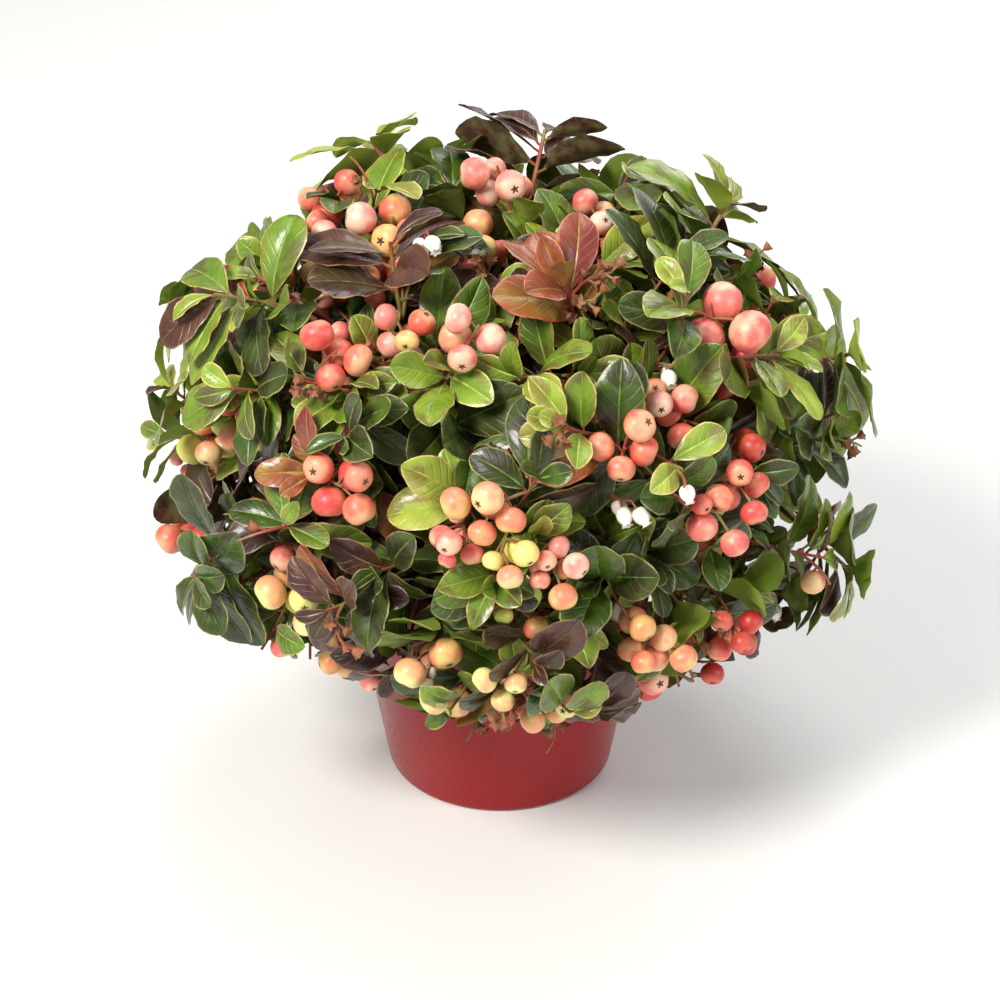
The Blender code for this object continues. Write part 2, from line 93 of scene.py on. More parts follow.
class Field:
    """A number that varies over a surface, so that shader maths reads as an expression."""

    def __init__(self, surface: "Surface", socket: bpy.types.NodeSocket) -> None:
        """Wraps an output socket of the surface's tree."""
        self.surface, self.socket = surface, socket

    def maths(self, operation: str, first: Number, second: Number = 0.0) -> "Field":
        """Works out one operation of the Math node on a number or two."""
        return self.surface.field("ShaderNodeMath", {"operation": operation}, {0: first, 1: second})

    def __add__(self, other: Number) -> "Field":
        """This plus a number."""
        return self.maths("ADD", self, other)

    def __sub__(self, other: Number) -> "Field":
        """This less a number."""
        return self.maths("SUBTRACT", self, other)

    def __rsub__(self, other: Number) -> "Field":
        """A number less this."""
        return self.maths("SUBTRACT", other, self)

    def __mul__(self, other: Number) -> "Field":
        """This times a number."""
        return self.maths("MULTIPLY", self, other)

    def __pow__(self, other: Number) -> "Field":
        """This to a power."""
        return self.maths("POWER", self, other)

    def __abs__(self) -> "Field":
        """This without its sign."""
        return self.maths("ABSOLUTE", self)

    __radd__ = __add__
    __rmul__ = __mul__

    def wave(self) -> "Field":
        """A cosine of this, in whole turns, between 0 and 1."""
        return self.maths("COSINE", self * TURN) * 0.5 + 0.5

    def step(self, low: float, high: float) -> "Field":
        """Rises smoothly from 0 where this is low to 1 where it is high."""
        ends = {"Value": self, "From Min": low, "From Max": high}
        return self.surface.field("ShaderNodeMapRange", {"interpolation_type": "SMOOTHSTEP"}, ends)


@dataclass(frozen=True)
class Clouds:
    """Cloudy noise: its clouds' width in metres, its finer layers, its edges and its stretch.

    With edges, it rises from 0 at the first to 1 at the second. The stretch says how much
    denser it is along X, Y and Z.
    """

    size: float
    layers: float
    edges: Pair | None = None
    stretch: Triple = (1.0, 1.0, 1.0)


class Surface:
    """The node tree of one material, round its Principled shader."""

    def __init__(self, name: str, even: dict[str, object]) -> None:
        """Starts a material.

        Args:
            name: its name.
            even: the values that are the same all over, by the shader's socket.
        """
        self.material = bpy.data.materials.new(name)
        self.material.use_nodes = True
        self.tree = self.material.node_tree
        self.feed(even)

    def feed(self, values: dict[str, object]) -> None:
        """Gives the shader's inputs their values."""
        for socket, value in values.items():
            self.put(self.tree.nodes["Principled BSDF"].inputs[socket], value)

    def put(self, socket: bpy.types.NodeSocket, value: object) -> None:
        """Gives an input its value.

        Args:
            socket: the input.
            value: a field or an output to link, or a plain number, colour or vector.
        """
        if isinstance(value, Field):
            value = value.socket
        if isinstance(value, bpy.types.NodeSocket):
            self.tree.links.new(value, socket)
        elif socket.type == "RGBA":
            socket.default_value = (*value, 1.0)
        else:
            socket.default_value = value

    def node(self, kind: str, settings: dict[str, object], sockets: dict) -> bpy.types.Node:
        """Adds a node.

        Args:
            kind: the node's type.
            settings: its settings, which are set first.
            sockets: the values or links of its inputs, by name or number.

        Returns:
            The node.
        """
        made = self.tree.nodes.new(kind)
        for setting, value in settings.items():
            setattr(made, setting, value)
        for key, value in sockets.items():
            self.put(made.inputs[key], value)
        return made

    def field(self, kind: str, settings: dict[str, object], sockets: dict) -> Field:
        """Adds a node, as node does, for the number that its first output gives."""
        return Field(self, self.node(kind, settings, sockets).outputs[0])

    def noise(self, clouds: Clouds) -> Field:
        """Cloudy noise in the plant's own space.

        Args:
            clouds: what it is like.

        Returns:
            A field round 0.5, or from 0 to 1 if the clouds have edges.
        """
        place = self.node("ShaderNodeTexCoord", {}, {}).outputs["Object"]
        pressed = self.node(
            "ShaderNodeVectorMath", {"operation": "MULTIPLY"}, {0: place, 1: clouds.stretch}
        )
        sockets = {"Vector": pressed.outputs[0], "Scale": 1 / clouds.size, "Detail": clouds.layers}
        made = self.field("ShaderNodeTexNoise", {}, sockets)
        return made.step(*clouds.edges) if clouds.edges else made

    def skin(self) -> tuple[Field, Field]:
        """Tells how far a point lies along its leaf or berry, and how far across.

        Returns:
            Both, from 0 to 1.
        """
        place = self.node("ShaderNodeUVMap", {"uv_map": SKIN_MAP}, {}).outputs[0]
        parts = self.node("ShaderNodeSeparateXYZ", {}, {0: place})
        return Field(self, parts.outputs[0]), Field(self, parts.outputs[1])

    def mix(self, share: Number, first: object, second: object) -> bpy.types.NodeSocket:
        """Mixes two colours, or outputs that carry them, with a share of the second."""
        sockets = {MIX_FACTOR: share, MIX_FIRST: first, MIX_SECOND: second}
        return self.node("ShaderNodeMix", {"data_type": "RGBA"}, sockets).outputs[MIX_RESULT]

    def finish(
        self, color: object, roughness: Number, height: Field, relief: float
    ) -> bpy.types.Material:
        """Feeds the shader what varies over the surface.

        Args:
            color: the base colour, or the output that carries it.
            roughness: the roughness.
            height: the relief's height, from 0 to 1.
            relief: what a height of 1 stands for, in metres.

        Returns:
            The finished material.
        """
        sockets = {"Strength": 1.0, "Distance": relief, "Height": height}
        bump = self.node("ShaderNodeBump", {}, sockets)
        self.feed({"Base Color": color, "Roughness": roughness, "Normal": bump.outputs[0]})
        return self.material


# Finishes


@dataclass(frozen=True)
class PotPlastic:
    """Moulded plastic. Dust and scuffs, in this order in each pair, pale and dull it a little."""

    name: str = "pot_plastic"
    red: Color = (0.255, 0.004, 0.007)
    dusty: Color = (0.33, 0.030, 0.028)
    dust: Clouds = Clouds(0.030, 5, (0.48, 0.80))
    scuffs: Clouds = Clouds(0.0025, 3, (0.62, 0.80), (1.0, 1.0, 3.0))
    grain: Clouds = Clouds(0.0016, 2)
    gloss: float = 0.27
    paling: Pair = (0.30, 0.10)
    dulling: Pair = (0.14, 0.12)
    height: Pair = (0.6, 0.2)
    relief: float = 0.00003

    def material(self) -> bpy.types.Material:
        """Makes the material.

        Returns:
            The material.
        """
        surface = Surface(
            self.name, {"Specular IOR Level": 0.20, "Coat Weight": 0.15, "Coat Roughness": 0.08}
        )
        dust, scuffs = surface.noise(self.dust), surface.noise(self.scuffs)
        pale = dust * self.paling[0] + scuffs * self.paling[1]
        roughness = self.gloss + self.dulling[0] * dust + self.dulling[1] * scuffs
        height = surface.noise(self.grain) * self.height[0] + scuffs * self.height[1]
        return surface.finish(surface.mix(pale, self.red, self.dusty), roughness, height, self.relief)


@dataclass(frozen=True)
class MoistPeat:
    """Dark fibrous peat with paler crumbs. Its clods take the second roughness off the first."""

    name: str = "moist_peat"
    dark: Color = (0.016, 0.009, 0.006)
    brown: Color = (0.075, 0.040, 0.022)
    straw: Color = (0.20, 0.125, 0.065)
    clods: Clouds = Clouds(0.005, 6)
    crumbs: Clouds = Clouds(0.0014, 3)
    clod_edges: Pair = (0.35, 0.70)
    crumb_edges: Pair = (0.64, 0.72)
    roughness: Pair = (0.96, 0.2)
    height: Pair = (0.6, 0.4)
    relief: float = 0.0012

    def material(self) -> bpy.types.Material:
        """Makes the material.

        Returns:
            The material.
        """
        surface = Surface(self.name, {"Specular IOR Level": 0.3})
        clods, crumbs = surface.noise(self.clods), surface.noise(self.crumbs)
        earth = surface.mix(clods.step(*self.clod_edges), self.dark, self.brown)
        color = surface.mix(crumbs.step(*self.crumb_edges), earth, self.straw)
        height = clods * self.height[0] + crumbs * self.height[1]
        return surface.finish(color, self.roughness[0] - self.roughness[1] * clods, height, self.relief)


@dataclass(frozen=True)
class Bark:
    """Thin brown bark that splits along the limb, with pale blotches of lichen.

    Its fibres take the second roughness off the first.
    """

    name: str = "thin_bark"
    furrow: Color = (0.045, 0.022, 0.014)
    ridge: Color = (0.21, 0.115, 0.070)
    lichen: Color = (0.26, 0.235, 0.175)
    fibres: Clouds = Clouds(0.0018, 4, None, (1.0, 1.0, 0.28))
    fibre_edges: Pair = (0.34, 0.66)
    blotches: Clouds = Clouds(0.007, 3, (0.60, 0.75))
    blotch_share: float = 0.5
    roughness: Pair = (0.88, 0.2)
    relief: float = 0.0005

    def material(self) -> bpy.types.Material:
        """Makes the material.

        Returns:
            The material.
        """
        surface = Surface(self.name, {"Specular IOR Level": 0.35})
        fibres = surface.noise(self.fibres)
        wood = surface.mix(fibres.step(*self.fibre_edges), self.furrow, self.ridge)
        color = surface.mix(surface.noise(self.blotches) * self.blotch_share, wood, self.lichen)
        return surface.finish(color, self.roughness[0] - self.roughness[1] * fibres, fibres, self.relief)


@dataclass(frozen=True)
class Tissue:
    """Two tones that meet in soft clouds, with a fine grain: a petal, or a berry's star.

    The grain adds the second roughness to the first.
    """

    name: str
    tint: Color
    shade: Color
    patches: Clouds = Clouds(0.0022, 3, (0.35, 0.65))
    grain: Clouds = Clouds(0.0022, 3)
    roughness: Pair = (0.55, 0.15)
    relief: float = 0.00012
    specular: float = 0.4
    coat: Pair = (0.0, 0.03)

    def material(self) -> bpy.types.Material:
        """Makes the material.

        Returns:
            The material.
        """
        weight, blur = self.coat
        even = {"Specular IOR Level": self.specular, "Coat Weight": weight, "Coat Roughness": blur}
        surface = Surface(self.name, even)
        grain = surface.noise(self.grain)
        color = surface.mix(surface.noise(self.patches), self.tint, self.shade)
        return surface.finish(color, self.roughness[0] + self.roughness[1] * grain, grain, self.relief)


@dataclass(frozen=True)
class ShootSkin(Tissue):
    """The smooth skin of young shoots and stalks, red where the sun reaches it."""

    name: str = "shoot_skin"
    tint: Color = (0.20, 0.17, 0.045)
    shade: Color = (0.27, 0.050, 0.030)
    patches: Clouds = Clouds(0.011, 3, (0.36, 0.58))
    grain: Clouds = Clouds(0.0009, 2)
    roughness: Pair = (0.42, 0.2)
    specular: float = 0.5


@dataclass(frozen=True)
class LeafTrim(Tissue):
    """The rib or the thin margin of a leaf."""

    patches: Clouds = Clouds(0.004, 3, (0.38, 0.62))
    grain: Clouds = Clouds(0.004, 3)
    roughness: Pair = (0.36, 0.14)
    relief: float = 0.0001
    specular: float = 0.5
    coat: Pair = (0.15, 0.2)


@dataclass(frozen=True)
class LeafUnderside(Tissue):
    """A leaf's paler and duller lower skin."""

    patches: Clouds = Clouds(0.006, 4, (0.35, 0.65))
    grain: Clouds = Clouds(0.0010, 2)
    roughness: Pair = (0.55, 0.2)
    relief: float = 0.00015
    specular: float = 0.35


@dataclass(frozen=True)
class LeafSkin:
    """A leaf's waxy upper skin: stained blade, flushed edge, slanting side veins, uneven gloss.

    The gloss adds the second roughness to the first.
    """

    name: str
    light: Color
    dark: Color
    vein: Color
    flush: Color
    stain_tone: Triple = (0.50, 0.35, 0.60)
    veins: float = 6.5
    slant: float = 0.30
    vein_sharpness: float = 12
    vein_share: float = 0.11
    vein_fade: float = 0.4
    patches: Clouds = Clouds(0.011, 3, (0.26, 0.74))
    fleck: Clouds = Clouds(0.0013, 3)
    blade_mix: Triple = (0.85, 0.30, 0.15)
    edges: Clouds = Clouds(0.016, 2, (0.38, 0.62))
    edge_power: float = 3
    edge_share: float = 0.7
    stains: Clouds = Clouds(0.012, 3, (0.50, 0.60))
    stain_power: float = 4
    stain_share: float = 0.72
    speck_edges: Pair = (0.60, 0.70)
    speck_share: float = 0.25
    gloss: Clouds = Clouds(0.0045, 3, (0.35, 0.75))
    roughness: Pair = (0.34, 0.22)
    height: Pair = (0.55, 0.45)
    relief: float = 0.00024

    def material(self) -> bpy.types.Material:
        """Makes the material.

        Returns:
            The material.
        """
        surface = Surface(
            self.name, {"Specular IOR Level": 0.42, "Coat Weight": 0.22, "Coat Roughness": 0.10}
        )
        along, across = surface.skin()
        side = abs(across - 0.5) * 2
        vein = ((along - self.slant * side) * self.veins).wave() ** self.vein_sharpness
        fleck = surface.noise(self.fleck)
        patches, flecks, less = self.blade_mix
        light = surface.noise(self.patches) * patches + fleck * flecks - less
        blade = surface.mix(light, self.dark, self.light)
        edge = (side ** self.edge_power) * surface.noise(self.edges)
        flushed = surface.mix(edge * self.edge_share, blade, self.flush)
        stain = surface.noise(self.stains) * (1 - side ** self.stain_power)
        marks = stain * self.stain_share + fleck.step(*self.speck_edges) * self.speck_share
        tone = tuple(flush * share for flush, share in zip(self.flush, self.stain_tone))
        stained = surface.mix(marks, flushed, tone)
        veined = vein * self.vein_share * (1 - self.vein_fade * side)
        roughness = self.roughness[0] + self.roughness[1] * surface.noise(self.gloss)
        height = (1 - vein) * self.height[0] + fleck * self.height[1]
        color = surface.mix(veined, stained, self.vein)
        return surface.finish(color, roughness, height, self.relief)


@dataclass(frozen=True)
class BerrySkin:
    """A berry's taut skin: paler round its star, blushed in soft clouds.

    The grain adds the second roughness to the first.
    """

    name: str
    ground: Color
    blush: Color
    share: float = 0.35
    clouds: Clouds = Clouds(0.0085, 3, (0.28, 0.72))
    grain: Clouds = Clouds(0.0011, 2)
    star_edges: Pair = (0.55, 0.95)
    star_fade: float = 0.75
    blush_edges: Pair = (0.25, 1.15)
    roughness: Pair = (0.36, 0.16)
    relief: float = 0.00014

    def material(self) -> bpy.types.Material:
        """Makes the material.

        Returns:
            The material.
        """
        surface = Surface(
            self.name,
            {
                "Subsurface Weight": 0.15,
                "Subsurface Radius": (0.0030, 0.0012, 0.0008),
                "Subsurface Scale": 1.0,
                "Coat Weight": 0.12,
                "Coat Roughness": 0.25,
            },
        )
        along, _ = surface.skin()
        grain = surface.noise(self.grain)
        far = 1 - self.star_fade * along.step(*self.star_edges)
        rosy = (surface.noise(self.clouds) + self.share) * far
        color = surface.mix(rosy.step(*self.blush_edges), self.ground, self.blush)
        return surface.finish(color, self.roughness[0] + self.roughness[1] * grain, grain, self.relief)


@dataclass(frozen=True)
class FloorPaint:
    """The studio's plain pale floor."""

    name: str = "floor_paint"
    tint: Color = (0.70, 0.70, 0.69)
    roughness: float = 0.75

    def material(self) -> bpy.types.Material:
        """Makes the material."""
        return Surface(self.name, {"Base Color": self.tint, "Roughness": self.roughness}).material


# Meshes


def placed(name: str, data: bpy.types.ID) -> bpy.types.Object:
    """Puts an object in the scene.

    Args:
        name: its name.
        data: its mesh, lamp or lens.

    Returns:
        The object.
    """
    made = bpy.data.objects.new(name, data)
    bpy.context.scene.collection.objects.link(made)
    return made


def settled(name: str, work: bmesh.types.BMesh) -> bpy.types.Mesh:
    """Turns worked-out geometry into a mesh.

    Args:
        name: the mesh's name.
        work: the geometry, which is freed.

    Returns:
        The mesh.
    """
    mesh = bpy.data.meshes.new(name)
    work.to_mesh(mesh)
    work.free()
    return mesh


def heading(azimuth: float, elevation: float = 0.0) -> Vector:
    """The unit vector with an azimuth and an elevation."""
    level = math.cos(elevation)
    return Vector((math.cos(azimuth) * level, math.sin(azimuth) * level, math.sin(elevation)))


def rough(place: Vector, layers: int = 3) -> float:
    """Fractal noise round 0 at a place, with so many layers of detail."""
    return noise.fractal(place, 1.0, 2.0, layers)


@dataclass
class Form:
    """One small form: its points, its faces, the kind of each face and its skin map."""

    points: np.ndarray
    faces: list[Face]
    kinds: list[int] = field(default_factory=list)
    skin: np.ndarray | None = None

    @cached_property
    def tree(self) -> BVHTree:
        """Its search tree."""
        return BVHTree.FromPolygons(self.points.tolist(), self.faces)

    @cached_property
    def ball(self) -> tuple[np.ndarray, float]:
        """The mean of its points, and how far the furthest lies from there."""
        middle = self.points.mean(0)
        return middle, np.linalg.norm(self.points - middle, axis=1).max()


@dataclass(frozen=True)
class Patch:
    """The part of a form's own square in the bake map that takes its faces of some kinds."""

    kinds: tuple[int, ...]
    low: Pair
    size: Pair


class LeafPart(IntEnum):
    """The kinds of a leaf's faces. A blade has three shades, 0 to 2."""

    BLADE = 0
    RIB = 3
    MARGIN = 4
    UNDERSIDE = 5
    STALK = 6


LEAF_PATCHES = (
    Patch((0, 1, 2, LeafPart.RIB, LeafPart.MARGIN), (0.03, 0.03), (0.94, 0.56)),
    Patch((LeafPart.UNDERSIDE,), (0.03, 0.63), (0.94, 0.26)),
    Patch((LeafPart.STALK,), (0.03, 0.92), (0.94, 0.04)),
)
BALL_PATCHES = (Patch((0, 1, 2, 3), (0.04, 0.04), (0.92, 0.86)),)
SEAM = 0.6


@dataclass
class Pile:
    """Forms gathered into one joined mesh, which is one piece on the plant's one body.

    It holds a slot's name, which nothing reads. Its own finishes are in the order of the faces'
    kinds. The patches say how a form's square of the bake map is shared out, if there is such
    a map. Edges that bend by less than smooth_below, in degrees, are smooth.
    """

    name: str
    slot: str
    finishes: Sequence
    patches: Sequence[Patch] = ()
    smooth_below: float = 55.0
    forms: list[tuple[Form, int]] = field(default_factory=list)

    def add(self, form: Form, shade: int = 0) -> None:
        """Adds a form, and says what is added to the kind of its faces of kind 0."""
        self.forms.append((form, shade))

    def build(self, *nodes: str) -> bpy.types.Object:
        """Makes the piece.

        Args:
            nodes: the names of the solids that it stands for.

        Returns:
            The piece.
        """
        faces: list[Face] = []
        kinds: list[int] = []
        first = 0
        for form, shade in self.forms:
            faces += [tuple(first + corner for corner in face) for face in form.faces]
            kinds += [kind or shade for kind in form.kinds]
            first += len(form.points)
        mesh = bpy.data.meshes.new(self.name)
        points = np.concatenate([form.points for form, _ in self.forms])
        mesh.from_pydata(points.tolist(), [], faces)
        for finish in self.finishes:
            mesh.materials.append(bpy.data.materials.get(finish.name) or finish.material())
        mesh.polygons.foreach_set("material_index", kinds)
        corners = np.zeros(len(mesh.loops), np.int32)
        mesh.loops.foreach_get("vertex_index", corners)
        skin = np.concatenate([form.skin for form, _ in self.forms])[corners]
        mesh.uv_layers.new(name=SKIN_MAP).uv.foreach_set("vector", skin.ravel())
        sizes = np.array([len(face) for face in faces])
        if self.patches:
            squares = self.squares(sizes, np.repeat(kinds, sizes), skin)
            mesh.uv_layers.new(name=BAKE_MAP).uv.foreach_set("vector", squares.ravel())
        mesh.shade_smooth()
        mesh.set_sharp_from_angle(angle=math.radians(self.smooth_below))
        mesh.update()
        piece = placed(self.name, mesh)
        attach(piece, BODY)
        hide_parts(*nodes)
        triangles = int((sizes - 2).sum())
        log.info("%s: %d forms, %d triangles", self.name, len(self.forms), triangles)
        return piece

    def squares(self, sizes: np.ndarray, kinds: np.ndarray, skin: np.ndarray) -> np.ndarray:
        """Lays the forms out in squares of their own, for the bake map.

        Args:
            sizes: how many corners each face has.
            kinds: the kind of face of each corner.
            skin: the skin map, one row a corner.

        Returns:
            The bake map, one row a corner.
        """
        starts = np.cumsum(sizes) - sizes
        spots = skin.copy()
        spots[:, 1] += np.repeat(np.maximum.reduceat(skin[:, 1], starts), sizes) - skin[:, 1] > SEAM
        for patch in self.patches:
            chosen = np.isin(kinds, patch.kinds)
            spots[chosen] = np.array(patch.low) + spots[chosen] * np.array(patch.size)
        row = math.ceil(math.sqrt(len(self.forms)))
        owners = np.repeat(np.arange(len(self.forms)), [len(form.faces) for form, _ in self.forms])
        owners = np.repeat(owners, sizes)
        return (spots + np.stack([owners % row, owners // row], 1)) / row


def strip_faces(rings: int, sides: int, closed: bool = True) -> list[Face]:
    """Quads between rings of points.

    Args:
        rings: how many rings there are.
        sides: how many points each has.
        closed: True if a ring's last point joins its first.

    Returns:
        The faces, which look outwards when the rings go up and turn left.
    """
    faces = []
    for ring in range(rings - 1):
        for side in range(sides if closed else sides - 1):
            a, b = ring * sides + side, ring * sides + (side + 1) % sides
            faces.append((a, b, b + sides, a + sides))
    return faces


def end_faces(rings: int, sides: int) -> list[Face]:
    """The flat faces that close both ends of a stack of rings."""
    last = (rings - 1) * sides
    return [tuple(reversed(range(sides))), tuple(range(last, last + sides))]


def pointed(points: np.ndarray, sides: int, kinds: Sequence[int], skin: np.ndarray) -> Form:
    """Makes a form of a stack of rings that a point closes at each end.

    Args:
        points: the points of the rings in turn, then the two end points.
        sides: how many points a ring has.
        kinds: the kind of face of its first end, of each band between rings and of its last end.
        skin: the skin map of the points.

    Returns:
        The form.
    """
    start = len(points) - 2
    last = start - sides
    faces = strip_faces(start // sides, sides)
    found = [kinds[1 + k // sides] for k in range(len(faces))]
    for k in range(sides):
        onward = (k + 1) % sides
        faces += [(start, onward, k), (start + 1, last + k, last + onward)]
        found += [kinds[0], kinds[-1]]
    return Form(points, faces, found, skin)


def lathe(profile: Sequence[Pair], steps: int) -> Form:
    """Turns a profile round Z.

    Args:
        profile: (radius, height) pairs that start and end on the axis, counterclockwise.
        steps: how many steps a full turn has.

    Returns:
        The closed form.
    """
    angles = np.arange(steps) * TURN / steps
    rings = [
        np.stack([r * np.cos(angles), r * np.sin(angles), np.full(steps, z)], 1)
        for r, z in profile[1:-1]
    ]
    points = np.vstack([*rings, [(0.0, 0.0, profile[0][1]), (0.0, 0.0, profile[-1][1])]])
    skin = np.stack([np.arctan2(points[:, 1], points[:, 0]) / TURN + 0.5, points[:, 2]], 1)
    return pointed(points, steps, [0] * (len(rings) + 1), skin)


def rounded(profile: Sequence[Pair], radius: float, guard: float = 2.2) -> list[Pair]:
    """Rounds the corners of a profile.

    Args:
        profile: the corners.
        radius: how far along its sides each corner is cut back, at most.
        guard: how many of its cuts a side has room for, at least.

    Returns:
        The profile with three points for each corner between its ends.
    """
    corners = [Vector(corner) for corner in profile]
    made = [corners[0]]
    for before, corner, after in zip(corners, corners[1:], corners[2:]):
        reach = min(radius, (corner - before).length / guard, (after - corner).length / guard)
        start = corner + (before - corner).normalized() * reach
        end = corner + (after - corner).normalized() * reach
        made += [start, (start + 2 * corner + end) / 4, end]
    made.append(corners[-1])
    return [tuple(point) for point in made]


@dataclass
class Limb:
    """A tapering limb as points along its middle, with a radius at each."""

    points: list[Vector]
    radii: list[float]

    knots_along = 450
    knots_round = 0.8

    def length(self) -> float:
        """Its whole length."""
        return sum((b - a).length for a, b in zip(self.points, self.points[1:]))

    def at(self, left: float) -> tuple[Vector, Vector]:
        """A place on it and the way it heads there.

        Args:
            left: how much of its length lies beyond the place.

        Returns:
            The place and a unit vector.
        """
        for a, b in zip(self.points[-2::-1], self.points[:0:-1]):
            stretch = (b - a).length
            if left <= stretch:
                return b.lerp(a, left / stretch), (b - a) / stretch
            left -= stretch
        return self.points[0].copy(), (self.points[1] - self.points[0]).normalized()

    def at_share(self, share: float) -> tuple[Vector, Vector]:
        """The same where a share of its length lies beyond the place."""
        return self.at(share * self.length())

    def tube(self, sides: int, relief: float = 0.0, closed: bool = True) -> Form:
        """Its skin.

        Args:
            sides: how many sides it has.
            relief: how deep its uneven growth is, as a share of its radius.
            closed: True if both ends are closed.

        Returns:
            The form.
        """
        along = [(b - a).normalized() for a, b in zip(self.points, self.points[1:])]
        along.append(along[-1])
        side = along[0].orthogonal().normalized()
        points, skin = [], []
        for i, (point, radius, way) in enumerate(zip(self.points, self.radii, along)):
            if i:
                side = along[i - 1].rotation_difference(way) @ side
            other = way.cross(side)
            for k in range(sides):
                angle = TURN * k / sides
                spoke = side * math.cos(angle) + other * math.sin(angle)
                swell = 1.0
                if relief:
                    swell += relief * rough(point * self.knots_along + spoke * self.knots_round)
                points.append(point + spoke * (radius * swell))
                skin.append((i / (len(self.points) - 1), k / sides))
        faces = strip_faces(len(self.points), sides)
        faces += end_faces(len(self.points), sides) if closed else []
        return Form(np.array(points), faces, [0] * len(faces), np.array(skin))


def bend(start: Vector, middle: Vector, end: Vector, radii: Pair, count: int) -> Limb:
    """A limb along one smooth bend.

    Args:
        start: where it starts.
        middle: the corner that it bends towards.
        end: where it ends.
        radii: its radius at its start and at its end.
        count: how many points it has.

    Returns:
        The limb.
    """
    shares = [i / (count - 1) for i in range(count)]
    points = [(1 - t) ** 2 * start + 2 * t * (1 - t) * middle + t * t * end for t in shares]
    return Limb(points, [radii[0] + t * (radii[1] - radii[0]) for t in shares])


# Pot, peat and stem


@dataclass
class Pot:
    """The thin tapered pot: rolled rim band, flat underside and eight drain holes."""

    height: float = 0.100
    rim_radius: float = 0.060
    rim_depth: float = 0.0105
    rim_step: float = 0.0022
    foot_radius: float = 0.0425
    wall: float = 0.0013
    floor: float = 0.0015
    edge: float = 0.0008
    drain_ring: float = 0.0290
    drain_holes: int = 8
    drain_radius: float = 0.0040
    drain_depth: float = 0.006
    drain_steps: int = 24
    steps: int = 128
    smooth_below: float = 30.0

    def wall_radius(self, z: float) -> float:
        """Outer radius of the tapered wall at a height."""
        share = z / (self.height - self.rim_depth)
        return self.foot_radius + share * (self.rim_radius - self.rim_step - self.foot_radius)

    def profile(self) -> list[Pair]:
        """The wall's section.

        Returns:
            It, from the underside's middle round the rim to the floor's middle.
        """
        under_rim = self.height - self.rim_depth
        inner_rim = self.rim_radius - self.wall
        corners = [
            (0.0, 0.0),
            (self.foot_radius - self.edge, 0.0),
            (self.wall_radius(2 * self.edge), 2 * self.edge),
            (self.wall_radius(under_rim), under_rim - self.edge),
            (self.rim_radius - self.edge, under_rim),
            (self.rim_radius, self.height),
            (inner_rim, self.height),
            (inner_rim - 2 * self.edge, under_rim),
            (self.wall_radius(self.floor) - self.wall, self.floor),
            (0.0, self.floor),
        ]
        return rounded(corners, self.edge)

    def drills(self) -> bpy.types.Object:
        """Makes the round bars that stand where the drain holes go.

        Returns:
            All of them as one object.
        """
        bars = bmesh.new()
        for i in range(self.drain_holes):
            place = self.drain_ring * heading(TURN * (i + 0.5) / self.drain_holes)
            bmesh.ops.create_cone(
                bars, cap_ends=True, segments=self.drain_steps, radius1=self.drain_radius,
                radius2=self.drain_radius, depth=self.drain_depth, matrix=Matrix.Translation(place),
            )
        return placed("drain_holes", settled("drain_holes", bars))

    def build(self) -> None:
        """Makes the pot and cuts its drain holes."""
        pile = Pile("pot_shell", "pot", [PotPlastic()], smooth_below=self.smooth_below)
        pile.add(lathe(self.profile(), self.steps))
        pot, drills = pile.build("pot"), self.drills()
        cut = pot.modifiers.new("Drain holes", "BOOLEAN")
        cut.operation, cut.object = "DIFFERENCE", drills
        bpy.context.view_layer.update()
        graph = bpy.context.evaluated_depsgraph_get()
        bored = bpy.data.meshes.new_from_object(pot.evaluated_get(graph))
        pot.modifiers.clear()
        pot.data = bored
        bpy.data.objects.remove(drills, do_unlink=True)


